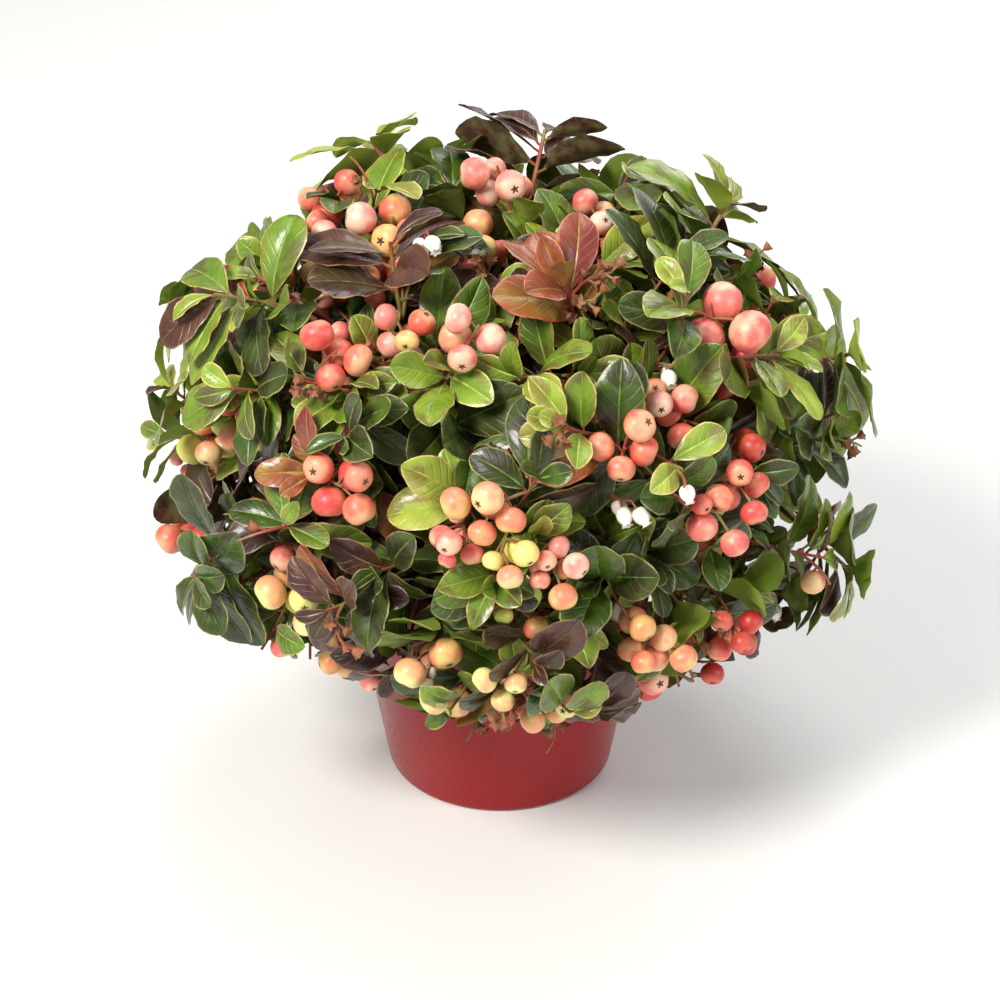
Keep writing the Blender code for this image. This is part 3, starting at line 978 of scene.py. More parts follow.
@dataclass
class Peat:
    """The peat in the pot, with a lumpy top and loose crumbs."""

    pot: Pot
    top: float = 0.090
    gap: float = 0.0006
    lump: float = 0.0011
    lump_density: float = 130
    lump_layers: int = 4
    lump_level: float = 0.3
    rings: int = 30
    steps: int = 72
    smooth_below: float = 40.0
    crumbs: int = 320
    crumb_share: float = 0.97
    crumb_rise: float = 0.3
    crumb_tilt: float = 0.4
    crumb_radius: Pair = (0.0004, 0.0013)
    crumb_stretch: Pair = (0.6, 1.7)
    crumb_swell: tuple[Pair, ...] = ((-1.0, 0.45), (-0.3, 1.0), (0.4, 0.85), (1.0, 0.3))
    crumb_sides: int = 5
    crumb_relief: float = 0.3

    def surface_height(self, x: float, y: float) -> float:
        """Height of the lumpy top at a place."""
        lumps = rough(Vector((x, y, self.lump_level)) * self.lump_density, self.lump_layers)
        return self.top + self.lump * max(-1.0, min(1.0, lumps))

    def crumb(self, rim: float, rng: random.Random) -> Form:
        """Makes one loose crumb.

        Args:
            rim: the radius of the peat's top.
            rng: the random draws.

        Returns:
            The crumb.
        """
        out, angle = rim * self.crumb_share * math.sqrt(rng.random()), rng.uniform(0, TURN)
        x, y = out * math.cos(angle), out * math.sin(angle)
        radius = rng.uniform(*self.crumb_radius)
        middle = Vector((x, y, self.surface_height(x, y) + self.crumb_rise * radius))
        tilt = rng.uniform(-1, 1), rng.uniform(-1, 1), rng.uniform(-self.crumb_tilt, self.crumb_tilt)
        half = Vector(tilt).normalized() * radius * rng.uniform(*self.crumb_stretch)
        points = [middle + along * half for along, _ in self.crumb_swell]
        radii = [swell * radius for _, swell in self.crumb_swell]
        return Limb(points, radii).tube(self.crumb_sides, self.crumb_relief)

    def build(self) -> None:
        """Makes the peat and its crumbs."""
        bottom = self.pot.floor + self.gap / 2
        clear = self.pot.wall + self.gap
        rim = self.pot.wall_radius(self.top) - clear
        profile = [(0.0, bottom), (self.pot.wall_radius(bottom) - clear, bottom)]
        profile += [(rim * (1 - i / self.rings), self.top) for i in range(self.rings)]
        body = lathe([*profile, (0.0, self.top)], self.steps)
        for i, (x, y, z) in enumerate(body.points):
            if z > self.top - self.gap:
                body.points[i][2] = self.surface_height(x, y)
        pile = Pile("peat_fill", "peat", [MoistPeat()], smooth_below=self.smooth_below)
        pile.add(body)
        rng = random.Random(SEED)
        for _ in range(self.crumbs):
            pile.add(self.crumb(rim, rng))
        pile.build("peat")


@dataclass
class MainStem:
    """The short woody stem: root flare at the peat, a neck, and a knuckle on top."""

    peat: Peat
    flare_radius: float = 0.0120
    knuckle_radius: float = 0.0085
    neck_share: float = 0.55
    crown_share: float = 0.93
    knuckle_height: float = 0.1035
    lean: Pair = (0.0012, -0.0008)
    root_lobes: int = 5
    lobe_share: float = 0.14
    relief: float = 0.0006
    furrows_round: float = 3.2
    furrows_along: float = 150
    furrow_level: Pair = (0.5, 2)
    least_radius: float = 0.0004
    sides: int = 64
    rings: int = 30
    smooth_below: float = 50.0

    @property
    def knuckle(self) -> Vector:
        """The middle of the knuckle."""
        return Vector((*self.lean, self.knuckle_height))

    def radius(self, z: float, angle: float) -> float:
        """Radius of the stem, as the solid has it.

        Args:
            z: the height.
            angle: how far round it is measured.

        Returns:
            The radius.
        """
        foot = self.peat.top
        neck = self.knuckle_height - self.neck_share * self.knuckle_radius
        if z > neck:
            return math.sqrt(max(self.knuckle_radius**2 - (z - self.knuckle_height) ** 2, 0.0))
        flare = (1 - (z - foot) / (neck - foot)) ** 2
        top = math.sqrt(self.knuckle_radius**2 - (neck - self.knuckle_height) ** 2)
        swell = 1 + self.lobe_share * flare * math.cos(self.root_lobes * angle)
        return (top + flare * (self.flare_radius - top)) * swell

    def build(self) -> None:
        """Makes the stem with its furrowed bark."""
        foot = self.peat.top
        top = self.knuckle_height + self.crown_share * self.knuckle_radius
        level, depth = self.furrow_level
        points, skin = [], []
        for ring in range(self.rings):
            share = ring / (self.rings - 1)
            z = foot + share * (top - foot)
            lean = min(1.0, (z - foot) / (self.knuckle_height - foot))
            base = Vector((self.lean[0] * lean, self.lean[1] * lean, z))
            for side in range(self.sides):
                angle = TURN * side / self.sides
                way = heading(angle)
                x, y = way.x * self.furrows_round, way.y * self.furrows_round
                furrow = abs(rough(Vector((x, y, z * self.furrows_along))))
                radius = self.radius(z, angle) + self.relief * (level - depth * furrow)
                points.append(base + way * max(radius, self.least_radius))
                skin.append((share, side / self.sides))
        faces = strip_faces(self.rings, self.sides) + end_faces(self.rings, self.sides)
        pile = Pile("main_stem_bark", "bark", [Bark()], smooth_below=self.smooth_below)
        pile.add(Form(np.array(points), faces, [0] * len(faces), np.array(skin)))
        pile.build("main_stem")


# Tones


@dataclass(frozen=True)
class LeafLook:
    """One tone of leaves: its slot, how many pieces share it, its pull and its colours.

    The blade has three shades, each light and dark. The margin has a flush of its own, and the
    last flush spreads in from it.
    """

    slot: str
    pieces: int
    pull: tuple[float, ...]
    blades: tuple[tuple[Color, Color], ...]
    rib: Color
    margin: Color
    margin_flush: Color
    flush: Color
    pale: Color = (0.26, 0.31, 0.11)
    pale_share: float = 0.4

    def finishes(self, name: str) -> list:
        """Finishes of a pile of such leaves.

        Args:
            name: what their names start with.

        Returns:
            Them in the order of the faces' kinds.
        """
        skins = [
            LeafSkin(f"{name}_{i + 1}", light, dark, self.rib, self.flush)
            for i, (light, dark) in enumerate(self.blades)
        ]
        light, share = self.blades[0][0], self.pale_share
        pale = tuple((1 - share) * a + share * b for a, b in zip(light, self.pale))
        rib = LeafTrim(name + "_rib", self.rib, light)
        margin = LeafTrim(name + "_margin", self.margin, self.margin_flush)
        return [*skins, rib, margin, LeafUnderside(name + "_underside", pale, light), ShootSkin()]


class LeafTone(Enum):
    """The tones of leaves."""

    GREEN = LeafLook(
        "foliage", 4, (0.44,),
        (
            ((0.174, 0.273, 0.017), (0.068, 0.138, 0.007)),
            ((0.128, 0.217, 0.013), (0.047, 0.101, 0.006)),
            ((0.234, 0.323, 0.021), (0.098, 0.175, 0.009)),
        ),
        (0.270, 0.350, 0.070), (0.340, 0.340, 0.080), (0.230, 0.120, 0.045), (0.170, 0.130, 0.028),
    )
    DEEP = LeafLook(
        "leaf_deep", 3, (0.26, 0.0, 0.25, 0.10),
        (
            ((0.067, 0.121, 0.008), (0.019, 0.044, 0.003)),
            ((0.090, 0.153, 0.009), (0.028, 0.063, 0.003)),
            ((0.060, 0.085, 0.010), (0.020, 0.032, 0.004)),
        ),
        (0.160, 0.250, 0.055), (0.230, 0.270, 0.065), (0.120, 0.090, 0.035), (0.050, 0.036, 0.014),
    )
    YOUNG = LeafLook(
        "leaf_young", 2, (0.13, 0.10),
        (
            ((0.307, 0.412, 0.040), (0.159, 0.264, 0.018)),
            ((0.232, 0.343, 0.030), (0.109, 0.206, 0.015)),
            ((0.397, 0.469, 0.066), (0.210, 0.303, 0.026)),
        ),
        (0.500, 0.560, 0.140), (0.520, 0.500, 0.140), (0.420, 0.280, 0.090), (0.400, 0.360, 0.050),
    )
    BRONZE = LeafLook(
        "leaf_bronze", 2, (0.09, 0.0, 0.0, 0.0, 0.12),
        (
            ((0.074, 0.022, 0.016), (0.020, 0.006, 0.006)),
            ((0.070, 0.056, 0.013), (0.030, 0.010, 0.008)),
            ((0.106, 0.042, 0.018), (0.038, 0.010, 0.009)),
        ),
        (0.200, 0.110, 0.050), (0.230, 0.150, 0.055), (0.110, 0.045, 0.030), (0.075, 0.016, 0.014),
    )
    RUSSET = LeafLook(
        "leaf_bronze", 1, (0.02, 0.0, 0.0, 0.0, 0.03),
        (
            ((0.356, 0.142, 0.027), (0.205, 0.039, 0.017)),
            ((0.281, 0.207, 0.029), (0.227, 0.063, 0.019)),
            ((0.324, 0.082, 0.032), (0.130, 0.026, 0.017)),
        ),
        (0.460, 0.300, 0.080), (0.420, 0.140, 0.050), (0.300, 0.050, 0.030), (0.300, 0.030, 0.018),
    )


@dataclass(frozen=True)
class BerryLook:
    """One tone of berries: its pull, three shades of skin, each a ground and a blush, and its star."""

    pull: tuple[float, ...]
    skins: tuple[tuple[Color, Color], ...]
    star: Tissue = Tissue("berry_star", (0.075, 0.030, 0.018), (0.17, 0.075, 0.035))

    def finishes(self, name: str) -> list:
        """Finishes of a pile of such berries: the skins and the star."""
        skins = [BerrySkin(f"{name}_{i + 1}", *tones) for i, tones in enumerate(self.skins)]
        return [*skins, self.star]


class BerryTone(Enum):
    """The tones of berries, from unripe to ripe."""

    CREAM = BerryLook(
        (0.10, 0.0, 0.0, 0.0, 0.0, 1.2),
        (
            ((0.760, 0.759, 0.216), (0.780, 0.572, 0.180)),
            ((0.520, 0.616, 0.108), (0.640, 0.572, 0.117)),
            ((0.800, 0.770, 0.288), (0.780, 0.374, 0.171)),
        ),
    )
    PEACH = BerryLook(
        (0.22, 0.0, 0.25),
        (
            ((0.750, 0.520, 0.190), (0.730, 0.215, 0.120)),
            ((0.700, 0.460, 0.150), (0.670, 0.160, 0.090)),
            ((0.780, 0.560, 0.260), (0.750, 0.260, 0.160)),
        ),
    )
    PINK = BerryLook(
        (0.24, 0.20),
        (
            ((0.820, 0.460, 0.320), (0.740, 0.160, 0.128)),
            ((0.830, 0.540, 0.400), (0.770, 0.220, 0.180)),
            ((0.800, 0.400, 0.260), (0.690, 0.110, 0.100)),
        ),
    )
    CORAL = BerryLook(
        (0.38, 0.0, 0.0, 0.0, 0.20),
        (
            ((0.790, 0.310, 0.175), (0.680, 0.088, 0.066)),
            ((0.760, 0.240, 0.150), (0.610, 0.060, 0.055)),
            ((0.790, 0.380, 0.205), (0.710, 0.128, 0.080)),
        ),
    )
    RED = BerryLook(
        (0.03, 0.0, 0.0, 0.0, 0.06),
        (
            ((0.640, 0.105, 0.059), (0.440, 0.024, 0.023)),
            ((0.660, 0.088, 0.077), (0.480, 0.020, 0.032)),
            ((0.580, 0.088, 0.045), (0.380, 0.020, 0.018)),
        ),
    )


def chosen(tones: type[Enum], outward: Vector, rng: random.Random) -> Enum:
    """Deals out a tone by chance and by place.

    A tone's pull says how likely it is: anywhere, and how much more on top, low down, on the
    left, on the right and low at the front left.

    Args:
        tones: the tones to choose from.
        outward: the way from the crown's heart to the spray or cluster.
        rng: the random draws.

    Returns:
        The tone.
    """
    high, low = max(0.0, outward.z), max(0.0, -outward.z)
    right, left = max(0.0, outward.x), max(0.0, -outward.x)
    front_left = low * max(0.0, -outward.y) * (1 - right)
    places = (1.0, high, low, left, right, front_left)
    weights = [sum(a * b for a, b in zip(tone.value.pull, places)) for tone in tones]
    return rng.choices(list(tones), weights)[0]


@dataclass(frozen=True)
class Ageing:
    """How some leaves of a spray differ from its tone.

    Between two ages, from 0 at the tip to 1, a share of the leaves turn to another tone.
    """

    tone: LeafTone
    ages: Pair
    share: float
    other: LeafTone


AGEINGS = (
    Ageing(LeafTone.GREEN, (-1.0, 0.35), 0.30, LeafTone.YOUNG),
    Ageing(LeafTone.GREEN, (0.60, 2.0), 0.40, LeafTone.DEEP),
    Ageing(LeafTone.YOUNG, (0.50, 2.0), 0.55, LeafTone.GREEN),
)


# Leaves, berries and flowers


@dataclass
class Leaf:
    """One leaf: a stalk, and a folded blade that arches and ends in a blunt point."""

    root: Vector
    way: Vector
    face: Vector
    length: float
    width: float
    stalk: float
    arch: float
    fold: float
    sway: float
    ripple: float
    belly: float
    point: float
    phase: float

    rows = np.array([0.0, 0.04, 0.12, 0.23, 0.36, 0.50, 0.63, 0.75, 0.85, 0.93, 0.98, 1.0])
    columns = 9
    bands = (
        LeafPart.MARGIN, LeafPart.BLADE, LeafPart.BLADE, LeafPart.RIB,
        LeafPart.RIB, LeafPart.BLADE, LeafPart.BLADE, LeafPart.MARGIN,
    )
    proxy_rows = np.array([0.08, 0.32, 0.62, 0.88])
    proxy_tip = np.array([0.985])
    proxy_share = 0.9
    rise, fall = 1.5, 1.9
    droop, droop_power = 0.14, 4
    ripples, ripple_shift = 2.6, 1.3
    rib, rib_share, rib_taper = 0.00042, 0.22, 0.7
    margin, margin_share = 0.00052, 0.28
    groove = 0.00016
    thickness, keel, keel_taper = 0.00034, 1.9, 0.5
    keel_marks = (0.25, 0.5, 0.75)
    least_half = 1e-6
    stalk_radius, stalk_taper, stalk_sag, stalk_overlap = 0.00055, 0.8, 0.04, 0.0003
    stalk_points, stalk_sides = 4, 4
    stalk_end = np.array([0.03])
    centre = np.zeros(1)

    def half_width(self, t: np.ndarray) -> np.ndarray:
        """Half of the blade's width.

        Args:
            t: how far along the blade, from 0 to 1.

        Returns:
            It at each of them.
        """
        peak = self.belly / (self.belly + self.point)
        most = peak**self.belly * (1 - peak) ** self.point
        cut = np.clip(t, 0, 1) ** self.belly * np.clip(1 - t, 0, 1) ** self.point / most
        return np.maximum(self.width / 2 * cut, self.stalk_radius * (1 - t))

    def place(self, t: np.ndarray, y: np.ndarray) -> np.ndarray:
        """Points of the blade's upper skin.

        Args:
            t: how far along the blade, from 0 to 1.
            y: how far across it, in metres.

        Returns:
            The points, one a row.
        """
        way, face = np.array(self.way), np.array(self.face)
        across = np.cross(way, face)
        share = (self.stalk + t * (self.length - self.stalk)) / self.length
        half = np.maximum(self.half_width(t), self.least_half)
        side = np.abs(y) / half
        wave = TURN * self.ripples * t + self.phase + self.ripple_shift * np.sign(y)
        lift = self.arch * self.length * share * (self.rise - self.fall * share)
        lift += np.abs(y) * self.fold - half * self.droop * side**self.droop_power
        lift += self.ripple * half * side**2 * np.sin(wave)
        drift = self.sway * self.length * share**2
        return (
            np.array(self.root)
            + way * (share * self.length)[:, None]
            + across * (y + drift)[:, None]
            + face * lift[:, None]
        )

    def proxy(self) -> Form:
        """Makes a plain sheet a little narrower than the blade, for the tests of room.

        Returns:
            The sheet.
        """
        count = len(self.proxy_rows)
        t = np.repeat(self.proxy_rows, 3)
        y = self.proxy_share * self.half_width(t) * np.tile([-1.0, 0.0, 1.0], count)
        points = np.vstack([self.place(t, y), self.place(self.proxy_tip, self.centre)])
        faces = strip_faces(count, 3, closed=False)
        tip = len(points) - 1
        return Form(points, [*faces, (tip - 3, tip - 2, tip), (tip - 2, tip - 1, tip)])

    def form(self) -> Form:
        """Makes the whole leaf.

        Returns:
            The leaf, with faces of the kinds of LeafPart.
        """
        t = self.rows[:-1]
        count, zeros = len(t), np.zeros(len(t))
        half = self.half_width(t)
        rib = np.minimum(self.rib * (1 - self.rib_taper * t), self.rib_share * half)
        inner = half - np.minimum(self.margin, self.margin_share * half)
        middle = (rib + inner) / 2
        right = np.stack([rib, middle, inner, half], 1)
        across = np.hstack([-right[:, ::-1], zeros[:, None], right]).ravel()
        along = np.repeat(t, self.columns)
        face = np.array(self.face)
        top = self.place(along, across)
        top[self.columns // 2 :: self.columns] -= face * self.groove
        tip = self.place(self.rows[-1:], self.centre)
        under_along = np.repeat(t[1:], 3)
        under = self.place(under_along, np.stack([-middle, zeros, middle], 1)[1:].ravel())
        keel = np.tile([1.0, self.keel, 1.0], count - 1) * self.thickness
        under -= face * (keel * (1 - self.keel_taper * under_along))[:, None]
        stalk = self.stalk_tube()
        skin_top = np.stack([along, across / np.repeat(half, self.columns) / 2 + 0.5], 1)
        skin_under = np.stack([under_along, np.tile(self.keel_marks, count - 1)], 1)
        skin = np.vstack([skin_top, [[1.0, 0.5]], skin_under, stalk.skin])
        faces, kinds = self.template(count)
        first = len(top) + 1 + len(under)
        faces = faces + [tuple(first + corner for corner in f) for f in stalk.faces]
        kinds = kinds + [LeafPart.STALK] * len(stalk.faces)
        return Form(np.vstack([top, tip, under, stalk.points]), faces, kinds, skin)

    def stalk_tube(self) -> Form:
        """Makes the stalk, from inside the twig to just under the blade's foot.

        Returns:
            The stalk.
        """
        foot = Vector(self.place(self.stalk_end, self.centre)[0]) - self.face * self.thickness
        start = self.root - self.way * self.stalk_overlap
        middle = self.root.lerp(foot, 0.5) - self.face * (self.stalk_sag * self.stalk)
        radii = (self.stalk_radius, self.stalk_radius * self.stalk_taper)
        stalk = bend(start, middle, foot, radii, self.stalk_points)
        return stalk.tube(self.stalk_sides, closed=False)

    @classmethod
    @cache
    def template(cls, rows: int) -> tuple[list[Face], list[int]]:
        """Faces of a blade and their kinds, the same for every leaf.

        Args:
            rows: how many rows of points there are before the tip.

        Returns:
            The faces and their kinds.
        """
        width, tip = cls.columns, rows * cls.columns
        middle = width // 2
        faces: list[Face] = []
        kinds: list[int] = []

        def upper(row: int, column: int) -> int:
            """Number of a point of the upper skin."""
            return tip if row == rows else row * width + column

        def lower(row: int, column: int) -> int:
            """Number of a point of the lower skin, which shares its edges with the upper."""
            shared = row in (0, rows) or column in (0, middle)
            return upper(row, 2 * column) if shared else tip + (row - 1) * 3 + column

        def add(kind: int, a: int, b: int, c: int, d: int, rising: bool) -> None:
            """Adds a four-sided patch, split from its inner corner to its outer one further on."""
            for face in ((a, b, c), (a, c, d)) if rising else ((a, b, d), (b, c, d)):
                if len(set(face)) == 3:
                    faces.append(face)
                    kinds.append(kind)

        for row in range(rows):
            on = row + 1
            for c, kind in enumerate(cls.bands):
                corners = upper(row, c), upper(row, c + 1), upper(on, c + 1), upper(on, c)
                add(kind, *corners, c >= middle)
            for c in range(middle):
                corners = lower(row, c + 1), lower(row, c), lower(on, c), lower(on, c + 1)
                add(LeafPart.UNDERSIDE, *corners, c < middle // 2)
        return faces, kinds


@dataclass(frozen=True)
class Station:
    """One ring of a five-lobed form: how far along and out it lies, its lobes, and its skin mark."""

    along: float
    out: float
    lobes: float
    mark: float


@dataclass
class Lobed:
    """A small five-lobed form that is turned round an axis.

    It is measured from its origin along its axis, a unit vector. Its scale is what a measure of
    1 stands for in metres, and its turn is how far its lobes are turned, in radians.
    """

    origin: Vector
    axis: Vector
    scale: float
    turn: float

    def spin(self, sides: int, stations: Sequence[Station], poles: Pair, kinds: Sequence[int]) -> Form:
        """Turns its rings round the axis.

        Args:
            sides: how many sides it has.
            stations: its rings.
            poles: where its closed ends lie along the axis.
            kinds: the kind of face of its first end, of each band and of its last end.

        Returns:
            The closed form.
        """
        way = np.array(self.axis)
        side = np.array(self.axis.orthogonal().normalized())
        other = np.cross(way, side)
        phi = np.arange(sides) * TURN / sides
        lobes = np.cos(5 * phi + self.turn)
        rings, skin = [], []
        for station in stations:
            width = station.out * (1 + station.lobes * lobes)
            spokes = side * (width * np.cos(phi))[:, None] + other * (width * np.sin(phi))[:, None]
            rings.append(way * station.along + spokes)
            skin += [(station.mark, k / sides) for k in range(sides)]
        ends = np.array([way * pole for pole in poles])
        points = np.array(self.origin) + self.scale * np.vstack([*rings, ends])
        return pointed(points, sides, kinds, np.array([*skin, (0.0, 0.5), (1.0, 0.5)]))


@dataclass
class Berry(Lobed):
    """One berry: a round form a little flattened, five-lobed, with a star at its far end."""

    flat: float

    angles = (15, 34, 54, 74, 94, 113, 131, 147, 159, 167.5, 174)
    sides = 20
    star_ring, star_kind, star_lobes, star_share = 9, 3, 0.42, 0.8
    shoulder, shoulder_lobes = 60, 0.050
    dip_start, dip_depth, dip_power = 138, 0.17, 1.4
    poles = (0.985, 0.30)

    def station(self, i: int) -> Station:
        """Works out one of its rings.

        Args:
            i: the ring's number.

        Returns:
            The ring.
        """
        angle = self.angles[i]
        late = max(0.0, (angle - self.shoulder) / (180 - self.shoulder))
        dip = max(0.0, (angle - self.dip_start) / (180 - self.dip_start))
        along = -math.cos(math.radians(angle)) * self.flat - self.dip_depth * dip**self.dip_power
        out = math.sin(math.radians(angle)) * (self.star_share if i > self.star_ring else 1.0)
        lobes = self.star_lobes if i == self.star_ring else self.shoulder_lobes * late
        return Station(along, out, lobes, angle / 180)

    def form(self) -> Form:
        """Makes the whole berry.

        Returns:
            The berry, with faces of kind 0 for its skin and the star's kind.
        """
        stations = [self.station(i) for i in range(len(self.angles))]
        kinds = [self.star_kind * (i > self.star_ring) for i in range(len(stations) + 1)]
        poles = (-self.flat * self.poles[0], self.flat - self.poles[1])
        return self.spin(self.sides, stations, poles, kinds)


@dataclass(frozen=True)
class CupLook:
    """A kind of small cup: its piece, slot and finishes, its outline, and how it hangs.

    The outline has pairs of how far down and out it lies, with the lip at one of them, and its
    first bands are green. Cups hang from a stalk, so many to one, drooping, and round it if
    they are whorled.
    """

    piece: str
    slot: str
    finishes: tuple[Tissue, ...]
    outline: tuple[Pair, ...]
    lip: int
    green_bands: int
    stalk: float
    counts: tuple[int, int]
    droop: float
    whorled: bool
    pedicel: float
    length: Pair


class CupKind(Enum):
    """The urn-shaped flowers, and the dry cups that spent ones leave."""

    BELL = CupLook(
        "flowers", "flower",
        (
            Tissue("petal", (0.86, 0.85, 0.74), (0.88, 0.78, 0.68), roughness=(0.38, 0.15)),
            Tissue("flower_cup", (0.20, 0.26, 0.07), (0.30, 0.10, 0.06)),
        ),
        (
            (0.00, 0.16), (0.06, 0.27), (0.20, 0.38), (0.40, 0.43), (0.60, 0.41), (0.78, 0.32),
            (0.90, 0.21), (0.97, 0.20), (1.02, 0.28), (0.99, 0.17), (0.80, 0.12),
        ),
        lip=8, green_bands=2, stalk=0.016, counts=(2, 5), droop=0.7, whorled=False,
        pedicel=0.003, length=(0.0052, 0.0068),
    )
    DRY = CupLook(
        "dry_cups", "shoot",
        (Tissue("dry_cup", (0.31, 0.085, 0.040), (0.20, 0.115, 0.045)),),
        (
            (0.00, 0.14), (0.14, 0.34), (0.42, 0.52), (0.74, 0.60), (1.00, 0.74), (0.72, 0.42),
            (0.40, 0.26),
        ),
        lip=4, green_bands=0, stalk=0.018, counts=(5, 8), droop=0.3, whorled=True,
        pedicel=0.0035, length=(0.0024, 0.0032),
    )


@dataclass
class Cup(Lobed):
    """One urn-shaped flower that hangs from its green cup, or the dry cup that it leaves."""

    look: CupLook

    sides = 15
    lip_lobes, body_lobes = 0.30, 0.02
    poles = (-0.02, 0.06)

    def form(self) -> Form:
        """Makes the whole flower or cup.

        Returns:
            It, with faces of kind 0 for petals or a dry cup and 1 for a green cup.
        """
        outline = self.look.outline
        stations = [
            Station(down, out, self.lip_lobes if i == self.look.lip else self.body_lobes, down)
            for i, (down, out) in enumerate(outline)
        ]
        kinds = [int(i < self.look.green_bands) for i in range(len(stations) + 1)]
        poles = (self.poles[0], outline[-1][0] - self.poles[1])
        return self.spin(self.sides, stations, poles, kinds)


# Crown


class Ring(Enum):
    """The rings of masses: name, count, elevation and the bough's elevation at the knuckle."""

    SKIRT = ("skirt", 7, math.radians(-4), math.radians(16))
    SHOULDER = ("shoulder", 4, math.radians(42), math.radians(50))
    TOP = ("top", 1, math.radians(90), math.radians(90))


@dataclass(frozen=True)
class Spot:
    """A place on the crown's outline, as the heart sees it, in degrees."""

    azimuth: float
    elevation: float

    @property
    def way(self) -> Vector:
        """The unit vector from the heart to it."""
        return heading(math.radians(self.azimuth), math.radians(self.elevation))


@dataclass(frozen=True)
class ClusterSpot(Spot):
    """Where a cluster stands out in the photograph: its tone, how many berries, how large."""

    tone: BerryTone
    count: int
    radius: float


@dataclass(frozen=True)
class SpraySpot(Spot):
    """Where a spray of leaves stands proud of the crown, and its tone."""

    tone: LeafTone


CLUSTERS = (
    ClusterSpot(-100, -24, BerryTone.CREAM, 9, 0.0057),
    ClusterSpot(-78, -26, BerryTone.CREAM, 8, 0.0043),
    ClusterSpot(-90, -12, BerryTone.CREAM, 5, 0.0042),
    ClusterSpot(-126, -28, BerryTone.PEACH, 6, 0.0046),
    ClusterSpot(-132, -6, BerryTone.CREAM, 6, 0.0057),
    ClusterSpot(-55, -33, BerryTone.PINK, 7, 0.0053),
    ClusterSpot(-36, -26, BerryTone.RED, 4, 0.0047),
    ClusterSpot(-48, -42, BerryTone.CORAL, 4, 0.0054),
    ClusterSpot(-62, -10, BerryTone.PEACH, 7, 0.0049),
    ClusterSpot(-28, 40, BerryTone.PINK, 7, 0.0074),
    ClusterSpot(-120, 20, BerryTone.CORAL, 9, 0.0056),
    ClusterSpot(-92, 20, BerryTone.PEACH, 8, 0.0052),
    ClusterSpot(-66, 28, BerryTone.CORAL, 9, 0.0054),
    ClusterSpot(-132, 42, BerryTone.CORAL, 6, 0.0056),
    ClusterSpot(-46, 16, BerryTone.CORAL, 7, 0.0052),
    ClusterSpot(-96, 52, BerryTone.PINK, 4, 0.0056),
)
SPRAYS = (
    SpraySpot(18, 46, LeafTone.YOUNG),
    SpraySpot(-4, 20, LeafTone.GREEN),
    SpraySpot(-16, -12, LeafTone.GREEN),
    SpraySpot(74, 60, LeafTone.BRONZE),
    SpraySpot(128, 52, LeafTone.YOUNG),
    SpraySpot(158, 20, LeafTone.GREEN),
    SpraySpot(198, 38, LeafTone.GREEN),
    SpraySpot(214, -4, LeafTone.DEEP),
    SpraySpot(100, 6, LeafTone.GREEN),
)


@dataclass(frozen=True)
class CrownOutline:
    """The crown's outline: a full dome with a skirt that hangs past the rim."""

    heart_height: float = 0.130
    radius: float = 0.127
    rise: float = 0.111
    drop: float = 0.074
    fullness: float = 2.3
    lobes: tuple[tuple[int, float, float], ...] = ((2, 0.7, 0.030), (5, 2.0, 0.025))
    droop_azimuth: float = math.radians(-52)
    droop_share: float = 0.16

    @property
    def heart(self) -> Vector:
        """The point that the outline is measured from."""
        return Vector((0.0, 0.0, self.heart_height))

    def reach(self, ways: np.ndarray) -> np.ndarray:
        """How far the outline lies from the heart.

        Args:
            ways: unit vectors, one a row.

        Returns:
            The distance along each.
        """
        azimuth = np.arctan2(ways[:, 1], ways[:, 0])
        swell = sum(share * np.cos(count * azimuth + phase) for count, phase, share in self.lobes)
        droop = self.droop_share * np.cos(azimuth - self.droop_azimuth)
        across = np.hypot(ways[:, 0], ways[:, 1]) / (self.radius * (1 + swell))
        height = np.where(ways[:, 2] > 0, self.rise, self.drop * (1 + droop))
        along = np.abs(ways[:, 2]) / height
        return (across**self.fullness + along**self.fullness) ** (-1 / self.fullness)

    def spot(self, way: Vector, depth: float) -> Vector:
        """The place at a depth under the outline, seen from the heart along a unit vector."""
        return self.heart + way * (float(self.reach(np.array([way]))[0]) - depth)


@dataclass
class Mass:
    """The plan of one mass: its name, its bough, the stem that the bough runs on in, its way and
    the mass's middle."""

    name: str
    bough: Limb
    stem: Limb
    onward: Vector
    middle: Vector


@dataclass(frozen=True)
class ShootRule:
    """How one order of shoots grows.

    So many tips lie on a spiral from the lowest elevation up, so deep under the outline. The
    shoots fork off so far along what bears them, taper so, and have so many leaves.
    """

    count: int
    lowest: float
    phase: float
    depth: Pair
    roots: Pair
    radii: Pair
    leaves: int


MAIN = ShootRule(
    72, math.radians(-38), 0.0, (0.018, 0.042), (0.55, 0.92), (0.0011, 0.0007), 11
)
FINE = ShootRule(
    290, math.radians(-46), 0.5 * GOLDEN_ANGLE, (0.018, 0.054), (0.30, 0.68), (0.0008, 0.0005), 9
)


@dataclass
class Shoot:
    """One shoot: its leaves' tone, its random draws and how far its leaves may leave the outline."""

    index: int
    limb: Limb
    outward: Vector
    tone: LeafTone
    rng: random.Random
    rule: ShootRule
    proud: float = 0.0


